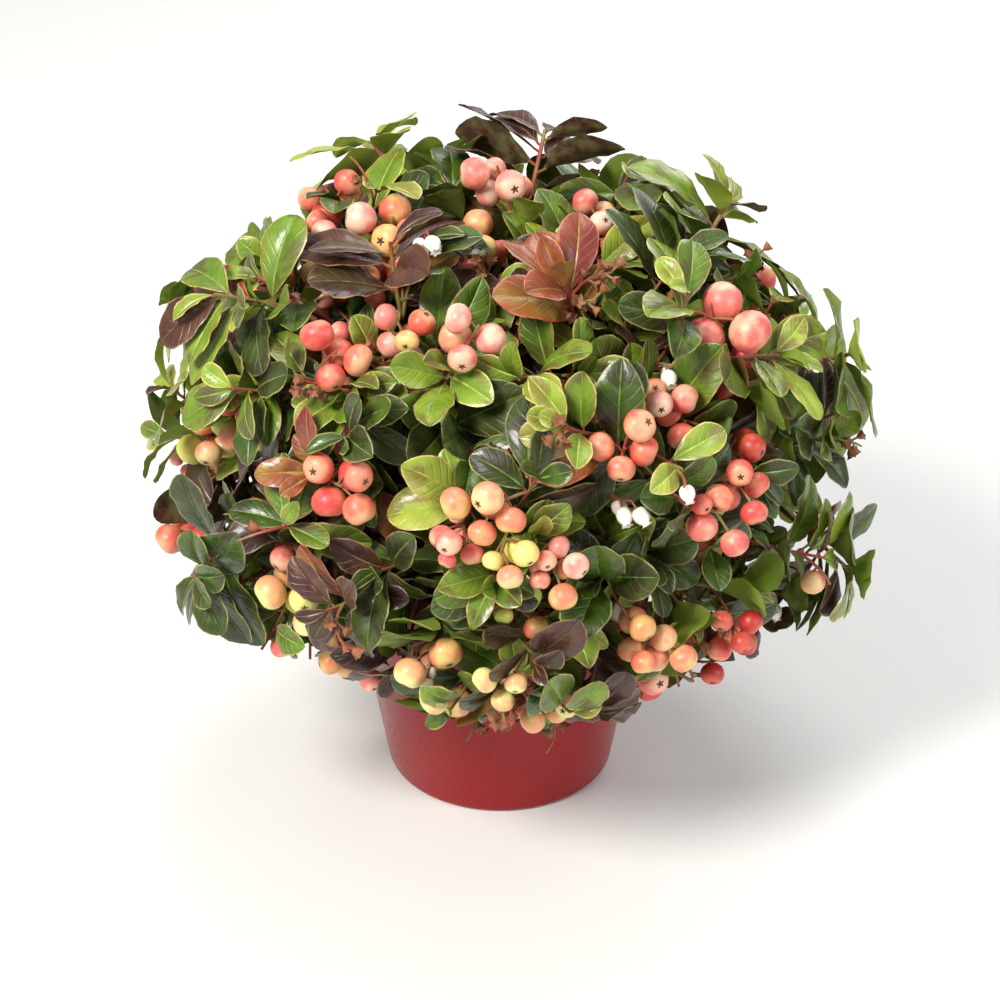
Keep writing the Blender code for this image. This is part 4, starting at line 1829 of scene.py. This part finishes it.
class Thicket:
    """What already grows in the crown, for keeping new leaves and berries clear of it."""

    most = 8000
    rim_clearance = 0.0014
    limb_clearance = 0.0004

    def __init__(self, outline: CrownOutline, pot: Pot, limbs: Sequence[Limb]) -> None:
        """Starts an empty thicket.

        Args:
            outline: the crown's outline, which only the proud sprays may leave.
            pot: the pot, which nothing may enter.
            limbs: the boughs, which nothing may touch.
        """
        self.outline, self.pot = outline, pot
        self.heart = np.array(outline.heart)
        self.starts = np.array([p for limb in limbs for p in limb.points[:-1]])
        ends = np.array([p for limb in limbs for p in limb.points[1:]])
        self.alongs = ends - self.starts
        self.squares = (self.alongs**2).sum(1)
        self.thickness = np.array([r for limb in limbs for r in limb.radii[:-1]])
        self.middles = np.zeros((self.most, 3))
        self.radii = np.zeros(self.most)
        self.trees: list[tuple[int | None, BVHTree]] = []

    def has_room(self, points: np.ndarray, proud: float = 0.0) -> bool:
        """Tells whether points may be grown over.

        Args:
            points: the points, one a row.
            proud: how far they may leave the outline, in metres.

        Returns:
            True if all lie in the outline, outside the pot and clear of the boughs.
        """
        arms = points - self.heart
        lengths = np.linalg.norm(arms, axis=1)
        if (lengths > self.outline.reach(arms / lengths[:, None]) + proud).any():
            return False
        inside = np.hypot(points[:, 0], points[:, 1]) < self.pot.rim_radius + self.rim_clearance
        if (inside & (points[:, 2] < self.pot.height + self.rim_clearance)).any():
            return False
        offsets = points[:, None, :] - self.starts
        shares = np.clip((offsets * self.alongs).sum(2) / self.squares, 0.0, 1.0)
        gaps = np.linalg.norm(offsets - shares[:, :, None] * self.alongs, axis=2)
        return bool((gaps > self.thickness + self.limb_clearance).all())

    def meets(self, form: Form, owner: int) -> bool:
        """Tells whether a form runs into another.

        Args:
            form: the form.
            owner: the shoot that it grows from, whose twig it may touch.

        Returns:
            True if it does.
        """
        middle, radius = form.ball
        count = len(self.trees)
        gaps = np.linalg.norm(self.middles[:count] - middle, axis=1)
        for i in np.nonzero(gaps < self.radii[:count] + radius)[0]:
            whose, other = self.trees[i]
            if (whose is None or whose != owner) and form.tree.overlap(other):
                return True
        return False

    def block(self, form: Form, owner: int | None = None) -> None:
        """Takes a form in, with the shoot whose twig it is, if it is one."""
        self.middles[len(self.trees)], self.radii[len(self.trees)] = form.ball
        self.trees.append((owner, form.tree))


@dataclass
class Foliage:
    """The leaves, which spiral down each shoot from its tip, the youngest first.

    A leaf's width and stalk are shares of its length. A spread has the least of a measure, how
    much a draw adds and the number of that draw.
    """

    thicket: Thicket
    length: Pair = (0.030, 0.039)
    spray_scale: Pair = (0.66, 1.04)
    bud_scale: Pair = (0.55, 0.15)
    first: float = 0.0005
    step: float = 0.00085
    spread: float = 1.45
    leafy_share: float = 0.8
    opening: Pair = (math.radians(26), math.radians(88))
    opening_power: float = 0.65
    openness: Pair = (0.52, 1.12)
    wander: float = 0.26
    outward_face: float = 0.6
    upward_face: float = 0.5
    roll: float = 1.3
    spreads: tuple[tuple[str, float, float, int], ...] = (
        ("width", 0.45, 0.18, 1), ("stalk", 0.07, 0.04, 2), ("arch", 0.10, 0.20, 3),
        ("fold", 0.16, 0.22, 4), ("ripple", 0.05, 0.06, 6), ("belly", 0.70, 0.36, 7),
        ("point", 0.46, 0.32, 2),
    )
    bud_fold: float = 0.30
    sway: float = 0.10
    draws: int = 9
    turned: float = 0.96
    bronze_age: float = 0.6
    tries: tuple[Triple, ...] = (
        (0.0, 0.0, 1.0), (0.35, 0.1, 0.97), (-0.35, -0.1, 0.93), (0.7, 0.25, 0.90),
        (-0.7, 0.2, 0.86), (1.1, 0.0, 0.80), (-1.1, 0.3, 0.75), (0.2, 0.5, 0.70),
    )

    def __post_init__(self) -> None:
        """Starts a pile for each piece of each tone."""
        self.piles = {}
        for tone in LeafTone:
            name = tone.name.lower()
            for part in range(tone.value.pieces):
                finishes = tone.value.finishes("leaf_" + name)
                pile = Pile(f"leaves_{name}_{part + 1}", tone.value.slot, finishes, LEAF_PATCHES)
                self.piles[tone, part] = pile

    def aged(self, tone: LeafTone, age: float, draw: float) -> LeafTone:
        """The tone of one leaf of a spray.

        Args:
            tone: the spray's tone.
            age: how old the leaf is, from 0 at the tip to 1.
            draw: a random number from 0 to 1.

        Returns:
            The tone: here and there younger at the tip, deeper or turned further down.
        """
        if draw > self.turned:
            return LeafTone.BRONZE if age < self.bronze_age else LeafTone.RUSSET
        for ageing in AGEINGS:
            low, high = ageing.ages
            if tone is ageing.tone and low < age < high and draw < ageing.share:
                return ageing.other
        return tone

    def leaf(
        self, root: Vector, way: Vector, face: Vector, length: float, grown: float,
        draws: Sequence[float],
    ) -> Leaf:
        """Shapes one leaf.

        Args:
            root: where its stalk leaves the twig.
            way: the way that it heads.
            face: the way that its upper skin looks.
            length: its length with the stalk.
            grown: how far grown it is, from 0 to 1.
            draws: its random draws.

        Returns:
            The leaf.
        """
        shape = {name: least + more * draws[number] for name, least, more, number in self.spreads}
        shape["width"] *= length
        shape["stalk"] *= length
        shape["fold"] += self.bud_fold * (1 - grown)
        sway, phase = self.sway * (draws[5] - 0.5), TURN * draws[3]
        return Leaf(root, way, face, length, **shape, sway=sway, phase=phase)

    def grow(self, shoot: Shoot) -> int:
        """Grows a shoot's leaves.

        Args:
            shoot: the shoot.

        Returns:
            How many found room.
        """
        rng, grown = shoot.rng, 0
        phase, openness = rng.uniform(0, TURN), rng.uniform(*self.openness)
        scale = self.spray_scale[1] if shoot.proud else rng.uniform(*self.spray_scale)
        for i in range(shoot.rule.leaves):
            age = i / (shoot.rule.leaves - 1)
            left = self.first + self.step * i**self.spread
            if left > self.leafy_share * shoot.limb.length():
                break
            place, axis = shoot.limb.at(left)
            side = axis.orthogonal().normalized()
            turn = phase + i * GOLDEN_ANGLE + rng.uniform(-self.wander, self.wander)
            lean = self.opening[0] + (self.opening[1] - self.opening[0]) * age**self.opening_power
            lean = lean * openness + rng.uniform(-self.wander, self.wander)
            full = min(1.0, self.bud_scale[0] + self.bud_scale[1] * i)
            length = rng.uniform(*self.length) * full * scale
            draws = [rng.random() for _ in range(self.draws)]
            tone = self.aged(shoot.tone, age, rng.random())
            pile = self.piles[tone, shoot.index % tone.value.pieces]
            for more_turn, more_lean, shrink in self.tries:
                spoke = Matrix.Rotation(turn + more_turn, 3, axis) @ side
                way = axis * math.cos(lean + more_lean) + spoke * math.sin(lean + more_lean)
                face = axis + self.outward_face * shoot.outward + self.upward_face * UP
                face = (face - way * face.dot(way)).normalized()
                face = Matrix.Rotation(self.roll * (draws[0] - 0.5), 3, way) @ face
                leaf = self.leaf(place, way, face, length * shrink, full, draws)
                sheet = leaf.proxy()
                if self.thicket.has_room(sheet.points, shoot.proud) and not self.thicket.meets(
                    sheet, shoot.index
                ):
                    self.thicket.block(sheet)
                    pile.add(leaf.form(), int(3 * draws[8]))
                    grown += 1
                    break
        return grown


@dataclass
class Cluster:
    """The plan of a cluster: its tone and what share of the berries stray from it, how many
    berries there are and their radius, its stalk's way and length, and how far outside each
    berry no leaf grows, as a share of its radius."""

    tone: BerryTone
    stray: float
    count: int
    size: Pair
    way: Vector
    stalk: float
    bare: float = 0.0


@dataclass
class Fruit:
    """The berries, the bell flowers and the dry cups, which hang from the shoots."""

    outline: CrownOutline
    thicket: Thicket
    twigs: Pile
    berry_share: float = 0.20
    back_share: float = 0.9
    flower_share: float = 0.10
    dry_share: float = 0.16
    stray: float = 0.35
    counts: tuple[int, ...] = (3, 4, 4, 5, 6, 6, 7, 8)
    radius: Pair = (0.0036, 0.0055)
    radius_scale: Pair = (0.85, 1.15)
    stalk: Pair = (0.009, 0.0016)
    spot_stray: float = 0.06
    spot_depth: float = 2.2
    spot_radius: Pair = (0.88, 1.10)
    spot_stalk: Pair = (0.008, 0.030)
    spot_bare: float = 1.5
    bare_ball: float = 0.85
    side_swing: float = 0.8
    least_level: float = 0.1
    outward_share: float = 0.9
    sag: Pair = (0.50, 0.75)
    fork: float = 0.009
    cup_fork: float = 0.006
    fork_share: float = 0.4
    spine_radii: Pair = (0.0006, 0.0005)
    spine_lean: float = 0.6
    spine_bend: float = 0.45
    spine_part: float = 0.55
    spine_points: int = 6
    spine_sides: int = 6
    attempts: int = 12
    attempt_turn: float = 0.45
    away_onward: Pair = (0.35, 0.08)
    away_down: float = 0.30
    pedicel: Pair = (0.0010, 0.0030)
    pedicel_growth: float = 0.15
    pedicel_radii: Pair = (0.00042, 0.00050)
    pedicel_foot: float = 0.80
    pedicel_sag: float = 0.0010
    pedicel_points: int = 5
    pedicel_sides: int = 5
    star_way: Triple = (0.75, 0.50, 0.25)
    flat: Pair = (0.86, 0.97)
    squeeze: float = 0.97
    probe_azimuths: tuple[float, ...] = (0.0, 1.6, 3.1, 4.7)
    probe_elevations: tuple[float, ...] = (-0.9, 0.0, 0.9)
    ball_share: float = 1.05
    cup_spine_radii: Pair = (0.0006, 0.0004)
    cup_spine_bend: float = 0.4
    cup_spine_part: Pair = (0.03, 0.8)
    cup_way: Pair = (0.4, 0.3)
    cup_swing: float = 0.8
    cup_radii: Pair = (0.0004, 0.0005)
    cup_points: int = 4
    cup_overlap: float = 0.0003
    cup_room: float = 0.4
    cup_ball: float = 0.5

    def __post_init__(self) -> None:
        """Starts the piles, and works out a plain ball and its probes."""
        self.cups = {
            kind: Pile(kind.value.piece, kind.value.slot, kind.value.finishes, BALL_PATCHES)
            for kind in CupKind
        }
        self.berries = {}
        for tone in BerryTone:
            name = tone.name.lower()
            finishes = tone.value.finishes("berry_" + name)
            self.berries[tone] = Pile(f"berries_{name}", "berry_" + name, finishes, BALL_PATCHES)
        self.spheres: list[tuple[Vector, float]] = []
        self.probes = np.array(
            [heading(a, e) for e in self.probe_elevations for a in self.probe_azimuths]
        )
        ball = bmesh.new()
        bmesh.ops.create_icosphere(ball, subdivisions=2, radius=1.0)
        self.ball_points = np.array([vert.co for vert in ball.verts])
        self.ball_faces = [tuple(vert.index for vert in face.verts) for face in ball.faces]
        ball.free()

    def fits(self, middle: Vector, radius: float) -> bool:
        """Tells whether a berry has room.

        Args:
            middle: its middle.
            radius: its radius.

        Returns:
            True if it stays in the crown, off the pot and off the other berries.
        """
        for other, reach in self.spheres:
            if (middle - other).length < radius + self.squeeze * reach:
                return False
        return self.thicket.has_room(np.array(middle) + radius * self.probes)

    def block_ball(self, middle: Vector, radius: float) -> None:
        """Keeps leaves out of a ball."""
        points = np.array(middle) + self.ball_share * radius * self.ball_points
        self.thicket.block(Form(points, self.ball_faces))

    def hanging(self, shoot: Shoot) -> Vector:
        """The way that a shoot's berries or flowers hang.

        Args:
            shoot: the shoot.

        Returns:
            A unit vector, out and down and turned at random.
        """
        out = shoot.outward
        across = out.cross(UP)
        across = across.normalized() if across.length > self.least_level else Vector((1.0, 0.0, 0.0))
        sag = self.sag[0] * (1 - self.sag[1] * max(0.0, out.z))
        swing = shoot.rng.uniform(-self.side_swing, self.side_swing)
        return (self.outward_share * out - sag * UP + swing * across).normalized()

    def grow_berry(
        self, shoot: Shoot, plan: Cluster, base: Vector, turn: float, radius: float
    ) -> Form | None:
        """Grows one berry with its own stalk.

        Args:
            shoot: the shoot.
            plan: the cluster's plan.
            base: where it leaves the cluster's stalk.
            turn: how far round that stalk it hangs, in golden angles.
            radius: its radius.

        Returns:
            The berry, or None if it finds no room.
        """
        rng, way = shoot.rng, plan.way
        side = way.orthogonal().normalized()
        for attempt in range(self.attempts):
            angle = turn + (self.attempt_turn * attempt) * GOLDEN_ANGLE
            spoke = Matrix.Rotation(angle, 3, way) @ side
            onward = self.away_onward[0] + self.away_onward[1] * attempt
            away = (way * onward + spoke - UP * self.away_down).normalized()
            reach = rng.uniform(*self.pedicel) * (1 + self.pedicel_growth * attempt) + radius
            middle = base + away * reach
            if not self.fits(middle, radius):
                continue
            out, down, along = self.star_way
            axis = (away * out - UP * down + way * along).normalized()
            berry = Berry(middle, axis, radius, rng.uniform(0, TURN), rng.uniform(*self.flat))
            foot = middle - axis * (self.pedicel_foot * radius)
            knee = base.lerp(foot, 0.5) - axis * self.pedicel_sag
            twig = bend(base, knee, foot, self.pedicel_radii, self.pedicel_points)
            self.twigs.add(twig.tube(self.pedicel_sides))
            self.block_ball(middle, radius)
            if plan.bare:
                outside = middle + shoot.outward * (plan.bare * radius)
                self.block_ball(outside, self.bare_ball * radius)
            self.spheres.append((middle, radius))
            return berry.form()
        return None

    def grow_cluster(self, shoot: Shoot, plan: Cluster) -> int:
        """Grows berries along a small stalk that leaves a shoot under its leaves.

        Args:
            shoot: the shoot.
            plan: the cluster's plan.

        Returns:
            How many found room.
        """
        rng, grown = shoot.rng, 0
        anchor, onward = shoot.limb.at(min(self.fork, self.fork_share * shoot.limb.length()))
        lean = plan.way + onward * self.spine_lean
        corner, end = anchor + lean * (self.spine_bend * plan.stalk), anchor + plan.way * plan.stalk
        spine = bend(anchor, corner, end, self.spine_radii, self.spine_points)
        tones = list(BerryTone)
        phase = rng.uniform(0, TURN)
        for i in range(plan.count):
            radius = rng.uniform(*plan.size)
            shade = rng.randrange(3)
            near = tones.index(plan.tone) + rng.choice((-1, 1)) * (rng.random() < plan.stray)
            near = max(0, min(len(tones) - 1, near))
            base, _ = spine.at(plan.stalk * self.spine_part * (1 - (i + 0.5) / plan.count))
            berry = self.grow_berry(shoot, plan, base, phase + i * GOLDEN_ANGLE, radius)
            if berry:
                self.berries[tones[near]].add(berry, shade)
                grown += 1
        if grown:
            stalk = spine.tube(self.spine_sides)
            self.twigs.add(stalk)
            self.thicket.block(stalk, shoot.index)
        return grown

    def grow_cups(self, shoot: Shoot, kind: CupKind) -> None:
        """Grows a few flowers or dry cups that hang from a small stalk.

        Args:
            shoot: the shoot.
            kind: which of them.
        """
        rng, look, grown = shoot.rng, kind.value, 0
        anchor, axis = shoot.limb.at(min(self.cup_fork, self.fork_share * shoot.limb.length()))
        way = self.hanging(shoot)
        corner = anchor + (way + axis) * (self.cup_spine_bend * look.stalk)
        end = anchor + way * look.stalk
        spine = bend(anchor, corner, end, self.cup_spine_radii, self.spine_points)
        count = rng.randint(*look.counts)
        for i in range(count):
            least, more = self.cup_spine_part
            base, onward = spine.at(look.stalk * (least + more * i / count))
            along, out = self.cup_way
            away = (onward * along - UP * look.droop + way * out).normalized()
            if look.whorled:
                across = onward.orthogonal().normalized()
                away = (away + Matrix.Rotation(i * GOLDEN_ANGLE, 3, onward) @ across).normalized()
            swing = rng.uniform(-self.cup_swing, self.cup_swing)
            away = Matrix.Rotation(swing, 3, onward) @ away
            top = base + away * look.pedicel
            length = rng.uniform(*look.length)
            middle = top + away * (0.5 * length)
            if not self.fits(middle, self.cup_room * length):
                continue
            self.cups[kind].add(Cup(top, away, length, rng.uniform(0, TURN), look).form())
            foot = top + away * self.cup_overlap
            twig = bend(base, base.lerp(top, 0.5), foot, self.cup_radii, self.cup_points)
            self.twigs.add(twig.tube(self.pedicel_sides))
            self.spheres.append((middle, self.cup_room * length))
            self.block_ball(middle, self.cup_ball * length)
            grown += 1
        if grown:
            self.twigs.add(spine.tube(self.spine_sides))

    def plan(self, shoot: Shoot) -> Cluster:
        """Plans a cluster that chance deals out.

        Args:
            shoot: the shoot that it hangs from.

        Returns:
            The plan.
        """
        tone = chosen(BerryTone, shoot.outward, shoot.rng)
        count = shoot.rng.choice(self.counts)
        scale = shoot.rng.uniform(*self.radius_scale)
        size = (self.radius[0] * scale, self.radius[1] * scale)
        stalk = self.stalk[0] + self.stalk[1] * count
        return Cluster(tone, self.stray, count, size, self.hanging(shoot), stalk)

    def grow(self, shoots: Sequence[Shoot]) -> int:
        """Grows the clusters that stand out, then those dealt out by chance, and the flowers.

        Chance deals more of them to the back, where none stands out in the photograph.

        Args:
            shoots: all the shoots.

        Returns:
            How many berries there are.
        """
        grown, used = 0, set()
        least, most = self.spot_radius
        for spot in CLUSTERS:
            place = self.outline.spot(spot.way, self.spot_depth * spot.radius)
            free = [shoot for shoot in shoots if shoot.index not in used]
            shoot = min(free, key=lambda s: (s.limb.at(self.fork)[0] - place).length)
            used.add(shoot.index)
            arm = place - shoot.limb.at(self.fork)[0]
            stalk = max(self.spot_stalk[0], min(self.spot_stalk[1], arm.length))
            size = (least * spot.radius, most * spot.radius)
            plan = Cluster(
                spot.tone, self.spot_stray, spot.count, size, arm.normalized(), stalk, self.spot_bare
            )
            grown += self.grow_cluster(shoot, plan)
        for shoot in shoots:
            if shoot.index in used:
                continue
            draw = shoot.rng.random()
            share = self.berry_share * (1 + self.back_share * max(0.0, shoot.outward.y))
            if draw < share:
                grown += self.grow_cluster(shoot, self.plan(shoot))
            elif draw < share + self.flower_share + self.dry_share:
                dry = draw > share + self.flower_share
                self.grow_cups(shoot, CupKind.DRY if dry else CupKind.BELL)
        return grown


@dataclass
class Crown:
    """The boughs and all that grows from them."""

    pot: Pot
    stem: MainStem
    outline: CrownOutline = CrownOutline()
    gap: float = 0.0003
    start_share: float = 0.40
    middle_share: float = 0.70
    bough_radii: Pair = (0.0019, 0.0013)
    bough_points: int = 5
    bough_bend: float = 0.5
    bark_overlap: float = 0.0015
    bark_points: int = 26
    bark_sides: int = 16
    bark_relief: float = 0.16
    stem_overlap: float = 0.001
    stem_length: float = 0.014
    stem_radii: Pair = (0.0013, 0.0011)
    stem_points: int = 5
    stem_sides: int = 8
    stem_relief: float = 0.1
    rim_reach: float = 0.008
    rise_jitter: float = 0.07
    turn_jitter: float = 0.12
    stray_share: float = 0.16
    stray_depth: Pair = (0.005, 0.014)
    fork_share: float = 0.3
    spray_fork: float = 0.35
    spray_rise: float = 0.011
    spray_tip: float = -0.2
    shoot_length: float = 0.010
    shoot_follow: float = 0.35
    shoot_sag: float = 0.13
    shoot_points: int = 7
    shoot_sides: int = 7
    shoot_relief: float = 0.08

    def __post_init__(self) -> None:
        """Lays out the masses, and starts the thicket and what grows in it."""
        self.masses = [self.plan(ring, i) for ring in Ring for i in range(ring.value[1])]
        self.thicket = Thicket(self.outline, self.pot, [mass.bough for mass in self.masses])
        self.twigs = Pile("twigs", "shoot", [ShootSkin()])
        self.foliage = Foliage(self.thicket)
        self.fruit = Fruit(self.outline, self.thicket, self.twigs)

    def plan(self, ring: Ring, i: int) -> Mass:
        """Plans one mass.

        Args:
            ring: its ring.
            i: its number in the ring.

        Returns:
            The plan.
        """
        name, count, elevation, bough_elevation = ring.value
        azimuth = TURN * (i + 0.5 * (ring is Ring.SHOULDER)) / count
        way, first = heading(azimuth, elevation), heading(azimuth, bough_elevation)
        start = self.stem.knuckle + first * (self.stem.knuckle_radius + self.gap)
        reach = float(self.outline.reach(np.array([way]))[0])
        end = self.outline.heart + way * (self.start_share * reach)
        corner = start + first * (self.bough_bend * (end - start).length)
        bough = bend(start, corner, end, self.bough_radii, self.bough_points)
        onward = (bough.points[-1] - bough.points[-2]).normalized()
        foot = bough.points[-1] - onward * self.stem_overlap
        top = bough.points[-1] + onward * (self.gap + self.stem_length)
        stem = bend(foot, foot.lerp(top, 0.5), top, self.stem_radii, self.stem_points)
        middle = self.outline.heart + way * (self.middle_share * reach)
        return Mass(name if count == 1 else f"{name}_{i + 1:02d}", bough, stem, onward, middle)

    def near_pot(self, place: Vector, reach: float) -> bool:
        """Tells whether a place lies over or under the rim, or less than a reach from it."""
        across = math.hypot(place.x, place.y)
        return across < self.pot.rim_radius + reach and place.z < self.pot.height + reach

    def tips(self, rule: ShootRule, rng: random.Random) -> Iterator[Vector]:
        """Tips of shoots, spread evenly over the crown by a golden-angle spiral.

        Args:
            rule: how the shoots grow.
            rng: the random draws.

        Yields:
            Each tip.
        """
        low = math.sin(rule.lowest)
        for i in range(rule.count):
            rise = low + (1 - low) * (i + 0.5) / rule.count
            elevation = math.asin(rise) + rng.uniform(-self.rise_jitter, self.rise_jitter)
            azimuth = i * GOLDEN_ANGLE + rule.phase + rng.uniform(-self.turn_jitter, self.turn_jitter)
            strays = rng.random() < self.stray_share
            way = heading(azimuth, elevation)
            depth = rng.uniform(*(self.stray_depth if strays else rule.depth))
            tip = self.outline.spot(way, depth)
            if self.near_pot(tip, self.rim_reach):
                tip = self.outline.spot(way, self.stray_depth[0])
            yield tip

    def add_shoot(
        self, shoots: list[Shoot], rule: ShootRule, root: Vector, onward: Vector, tip: Vector,
        rng: random.Random,
    ) -> None:
        """Adds one shoot, unless it would be too short or end against the pot.

        Args:
            shoots: the shoots so far.
            rule: how it grows.
            root: where it forks off.
            onward: the way that what it forks from heads there.
            tip: where it ends.
            rng: its random draws.
        """
        length = (tip - root).length
        if length < self.shoot_length or self.near_pot(tip, self.thicket.rim_clearance):
            return
        outward = (tip - self.outline.heart).normalized()
        straight = (tip - root) / length
        lean = onward * self.shoot_follow + straight * (1 - self.shoot_follow)
        corner = root + lean * (0.5 * length)
        corner -= UP * (self.shoot_sag * length * (1 - abs(outward.z)))
        for middle in (corner, root.lerp(tip, 0.5)):
            limb = bend(root, middle, tip, rule.radii, self.shoot_points)
            form = limb.tube(self.shoot_sides, self.shoot_relief)
            if self.thicket.has_room(form.points[2 * self.shoot_sides :]):
                break
        index = len(shoots)
        self.thicket.block(form, index)
        self.twigs.add(form)
        tone = chosen(LeafTone, outward, rng)
        shoots.append(Shoot(index, limb, outward, tone, rng, rule))

    def grow_shoots(self) -> list[Shoot]:
        """Grows the stems of the masses, the shoots that fork from them and the finer ones.

        Returns:
            The shoots.
        """
        for mass in self.masses:
            self.twigs.add(mass.stem.tube(self.stem_sides, self.stem_relief))
        shoots: list[Shoot] = []
        for i, tip in enumerate(self.tips(MAIN, random.Random(SEED))):
            rng = random.Random(MAIN_DRAWS + i)
            mass = min(self.masses, key=lambda m: (m.middle - tip).length)
            root = mass.stem.points[0].lerp(mass.stem.points[-1], rng.uniform(*MAIN.roots))
            self.add_shoot(shoots, MAIN, root, mass.onward, tip, rng)
        main = list(shoots)
        for i, tip in enumerate(self.tips(FINE, random.Random(SEED + 1))):
            rng = random.Random(FINE_DRAWS + i)
            fork = self.fork_share
            parent = min(main, key=lambda s: (s.limb.at_share(fork)[0] - tip).length)
            root, onward = parent.limb.at_share(1 - rng.uniform(*FINE.roots))
            self.add_shoot(shoots, FINE, root, onward, tip, rng)
        return shoots

    def grow_sprays(self, shoots: list[Shoot]) -> list[Shoot]:
        """Grows the sprays that stand proud, each from the nearest of the main shoots.

        Args:
            shoots: all the shoots so far.

        Returns:
            The sprays' shoots.
        """
        main = [shoot for shoot in shoots if shoot.rule is MAIN]
        sprays: list[Shoot] = []
        for i, spot in enumerate(SPRAYS):
            tip = self.outline.spot(spot.way, self.spray_tip * self.spray_rise)
            parent = min(main, key=lambda shoot: (shoot.limb.points[-1] - tip).length)
            root, onward = parent.limb.at_share(self.spray_fork)
            self.add_shoot(sprays, MAIN, root, onward, tip, random.Random(SPRAY_DRAWS + i))
            sprays[-1].index += len(shoots)
            sprays[-1].tone, sprays[-1].proud = spot.tone, self.spray_rise
        return sprays

    def build_bough(self, mass: Mass) -> None:
        """Makes the bark of a mass's bough, which starts a little inside the knuckle.

        Args:
            mass: the mass.
        """
        points = mass.bough.points
        start, end = points[0] - (points[1] - points[0]).normalized() * self.bark_overlap, points[-1]
        corner = 2 * points[self.bough_points // 2] - (start + end) / 2
        bark = bend(start, corner, end, self.bough_radii, self.bark_points)
        pile = Pile(f"bough_bark_{mass.name}", "bark", [Bark()])
        pile.add(bark.tube(self.bark_sides, self.bark_relief))
        pile.build(f"bough_{mass.name}")

    def build(self) -> None:
        """Grows and makes the boughs, twigs, leaves, berries and flowers."""
        for mass in self.masses:
            self.build_bough(mass)
        shoots = self.grow_shoots()
        sprays = self.grow_sprays(shoots)
        berries = self.fruit.grow(shoots)
        leaves = sum(self.foliage.grow(shoot) for shoot in [*sprays, *shoots])
        nodes = [f"foliage_{mass.name}" for mass in self.masses]
        groups = (self.fruit.cups, self.foliage.piles, self.fruit.berries)
        for pile in [self.twigs, *(pile for group in groups for pile in group.values())]:
            pile.build(*nodes)
        log.info("crown: %d shoots, %d leaves, %d berries", len(shoots), leaves, berries)


# Studio


@dataclass(frozen=True)
class SoftLamp:
    """One soft studio lamp that looks at the plant."""

    name: str
    place: Triple
    size: float
    watts: float
    tint: Color = (1.0, 1.0, 1.0)

    def build(self, target: Vector) -> None:
        """Makes the lamp.

        Args:
            target: the point that it looks at.
        """
        lamp = bpy.data.lights.new(self.name, "AREA")
        lamp.shape, lamp.size = "DISK", self.size
        lamp.energy, lamp.color = self.watts, self.tint
        holder = placed(self.name, lamp)
        holder.location = self.place
        aim = target - holder.location
        holder.rotation_euler = aim.to_track_quat("-Z", "Y").to_euler()


@dataclass
class Studio:
    """Pale floor, soft lamps, and the camera at the photograph's viewing angle."""

    target: Triple = (0.0, -0.004, 0.113)
    azimuth: float = 0.0
    elevation: float = 30.0
    distance: float = 1.04
    view_angle: float = 20.0
    floor_radius: float = 8.0
    floor_steps: int = 96
    sky: Color = (0.98, 0.98, 0.96)
    sky_strength: float = 0.42
    lamps: tuple[SoftLamp, ...] = (
        SoftLamp("key_lamp", (-0.75, -0.85, 1.25), 0.55, 34.0, (1.0, 0.97, 0.92)),
        SoftLamp("fill_lamp", (1.15, -0.75, 0.70), 0.90, 8.5, (0.95, 0.97, 1.0)),
        SoftLamp("top_lamp", (0.10, 0.45, 1.45), 0.70, 9.0),
        SoftLamp("back_lamp", (0.60, 1.20, 0.90), 0.90, 8.0),
    )

    def build(self) -> None:
        """Makes the floor, the sky, the lamps and the camera."""
        disc = bmesh.new()
        bmesh.ops.create_circle(
            disc, cap_ends=True, segments=self.floor_steps, radius=self.floor_radius
        )
        mesh = settled("studio_floor", disc)
        mesh.materials.append(FloorPaint().material())
        placed("studio_floor", mesh)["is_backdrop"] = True
        world = bpy.data.worlds.new("studio_sky")
        world.use_nodes = True
        sky = world.node_tree.nodes["Background"]
        sky.inputs["Color"].default_value = (*self.sky, 1.0)
        sky.inputs["Strength"].default_value = self.sky_strength
        bpy.context.scene.world = world
        for lamp in self.lamps:
            lamp.build(Vector(self.target))
        lens = bpy.data.cameras.new("camera")
        lens.angle = math.radians(self.view_angle)
        camera = placed("camera", lens)
        back = heading(math.radians(self.azimuth - 90), math.radians(self.elevation))
        camera.location = Vector(self.target) + back * self.distance
        camera.rotation_euler = (-back).to_track_quat("-Z", "Y").to_euler()
        bpy.context.scene.camera = camera
        bpy.context.scene.view_settings.view_transform = "Standard"
        log.info("studio: floor, %d lamps and camera", len(self.lamps))


def write_sizes() -> None:
    """Works out the box of the solids and the box of what is shown, and keeps neither.
    """
    boxes = {"cad": cad_box, "visual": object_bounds()}
    {name: [list(corner) for corner in box] for name, box in boxes.items()}


def main() -> None:
    """Builds every piece in order."""
    logging.basicConfig(level=logging.INFO, format="%(name)s: %(message)s")
    pot = Pot()
    peat = Peat(pot)
    stem = MainStem(peat)
    pot.build()
    peat.build()
    stem.build()
    Crown(pot, stem).build()
    Studio().build()
    write_sizes()


if __name__ == "__main__":
    main()
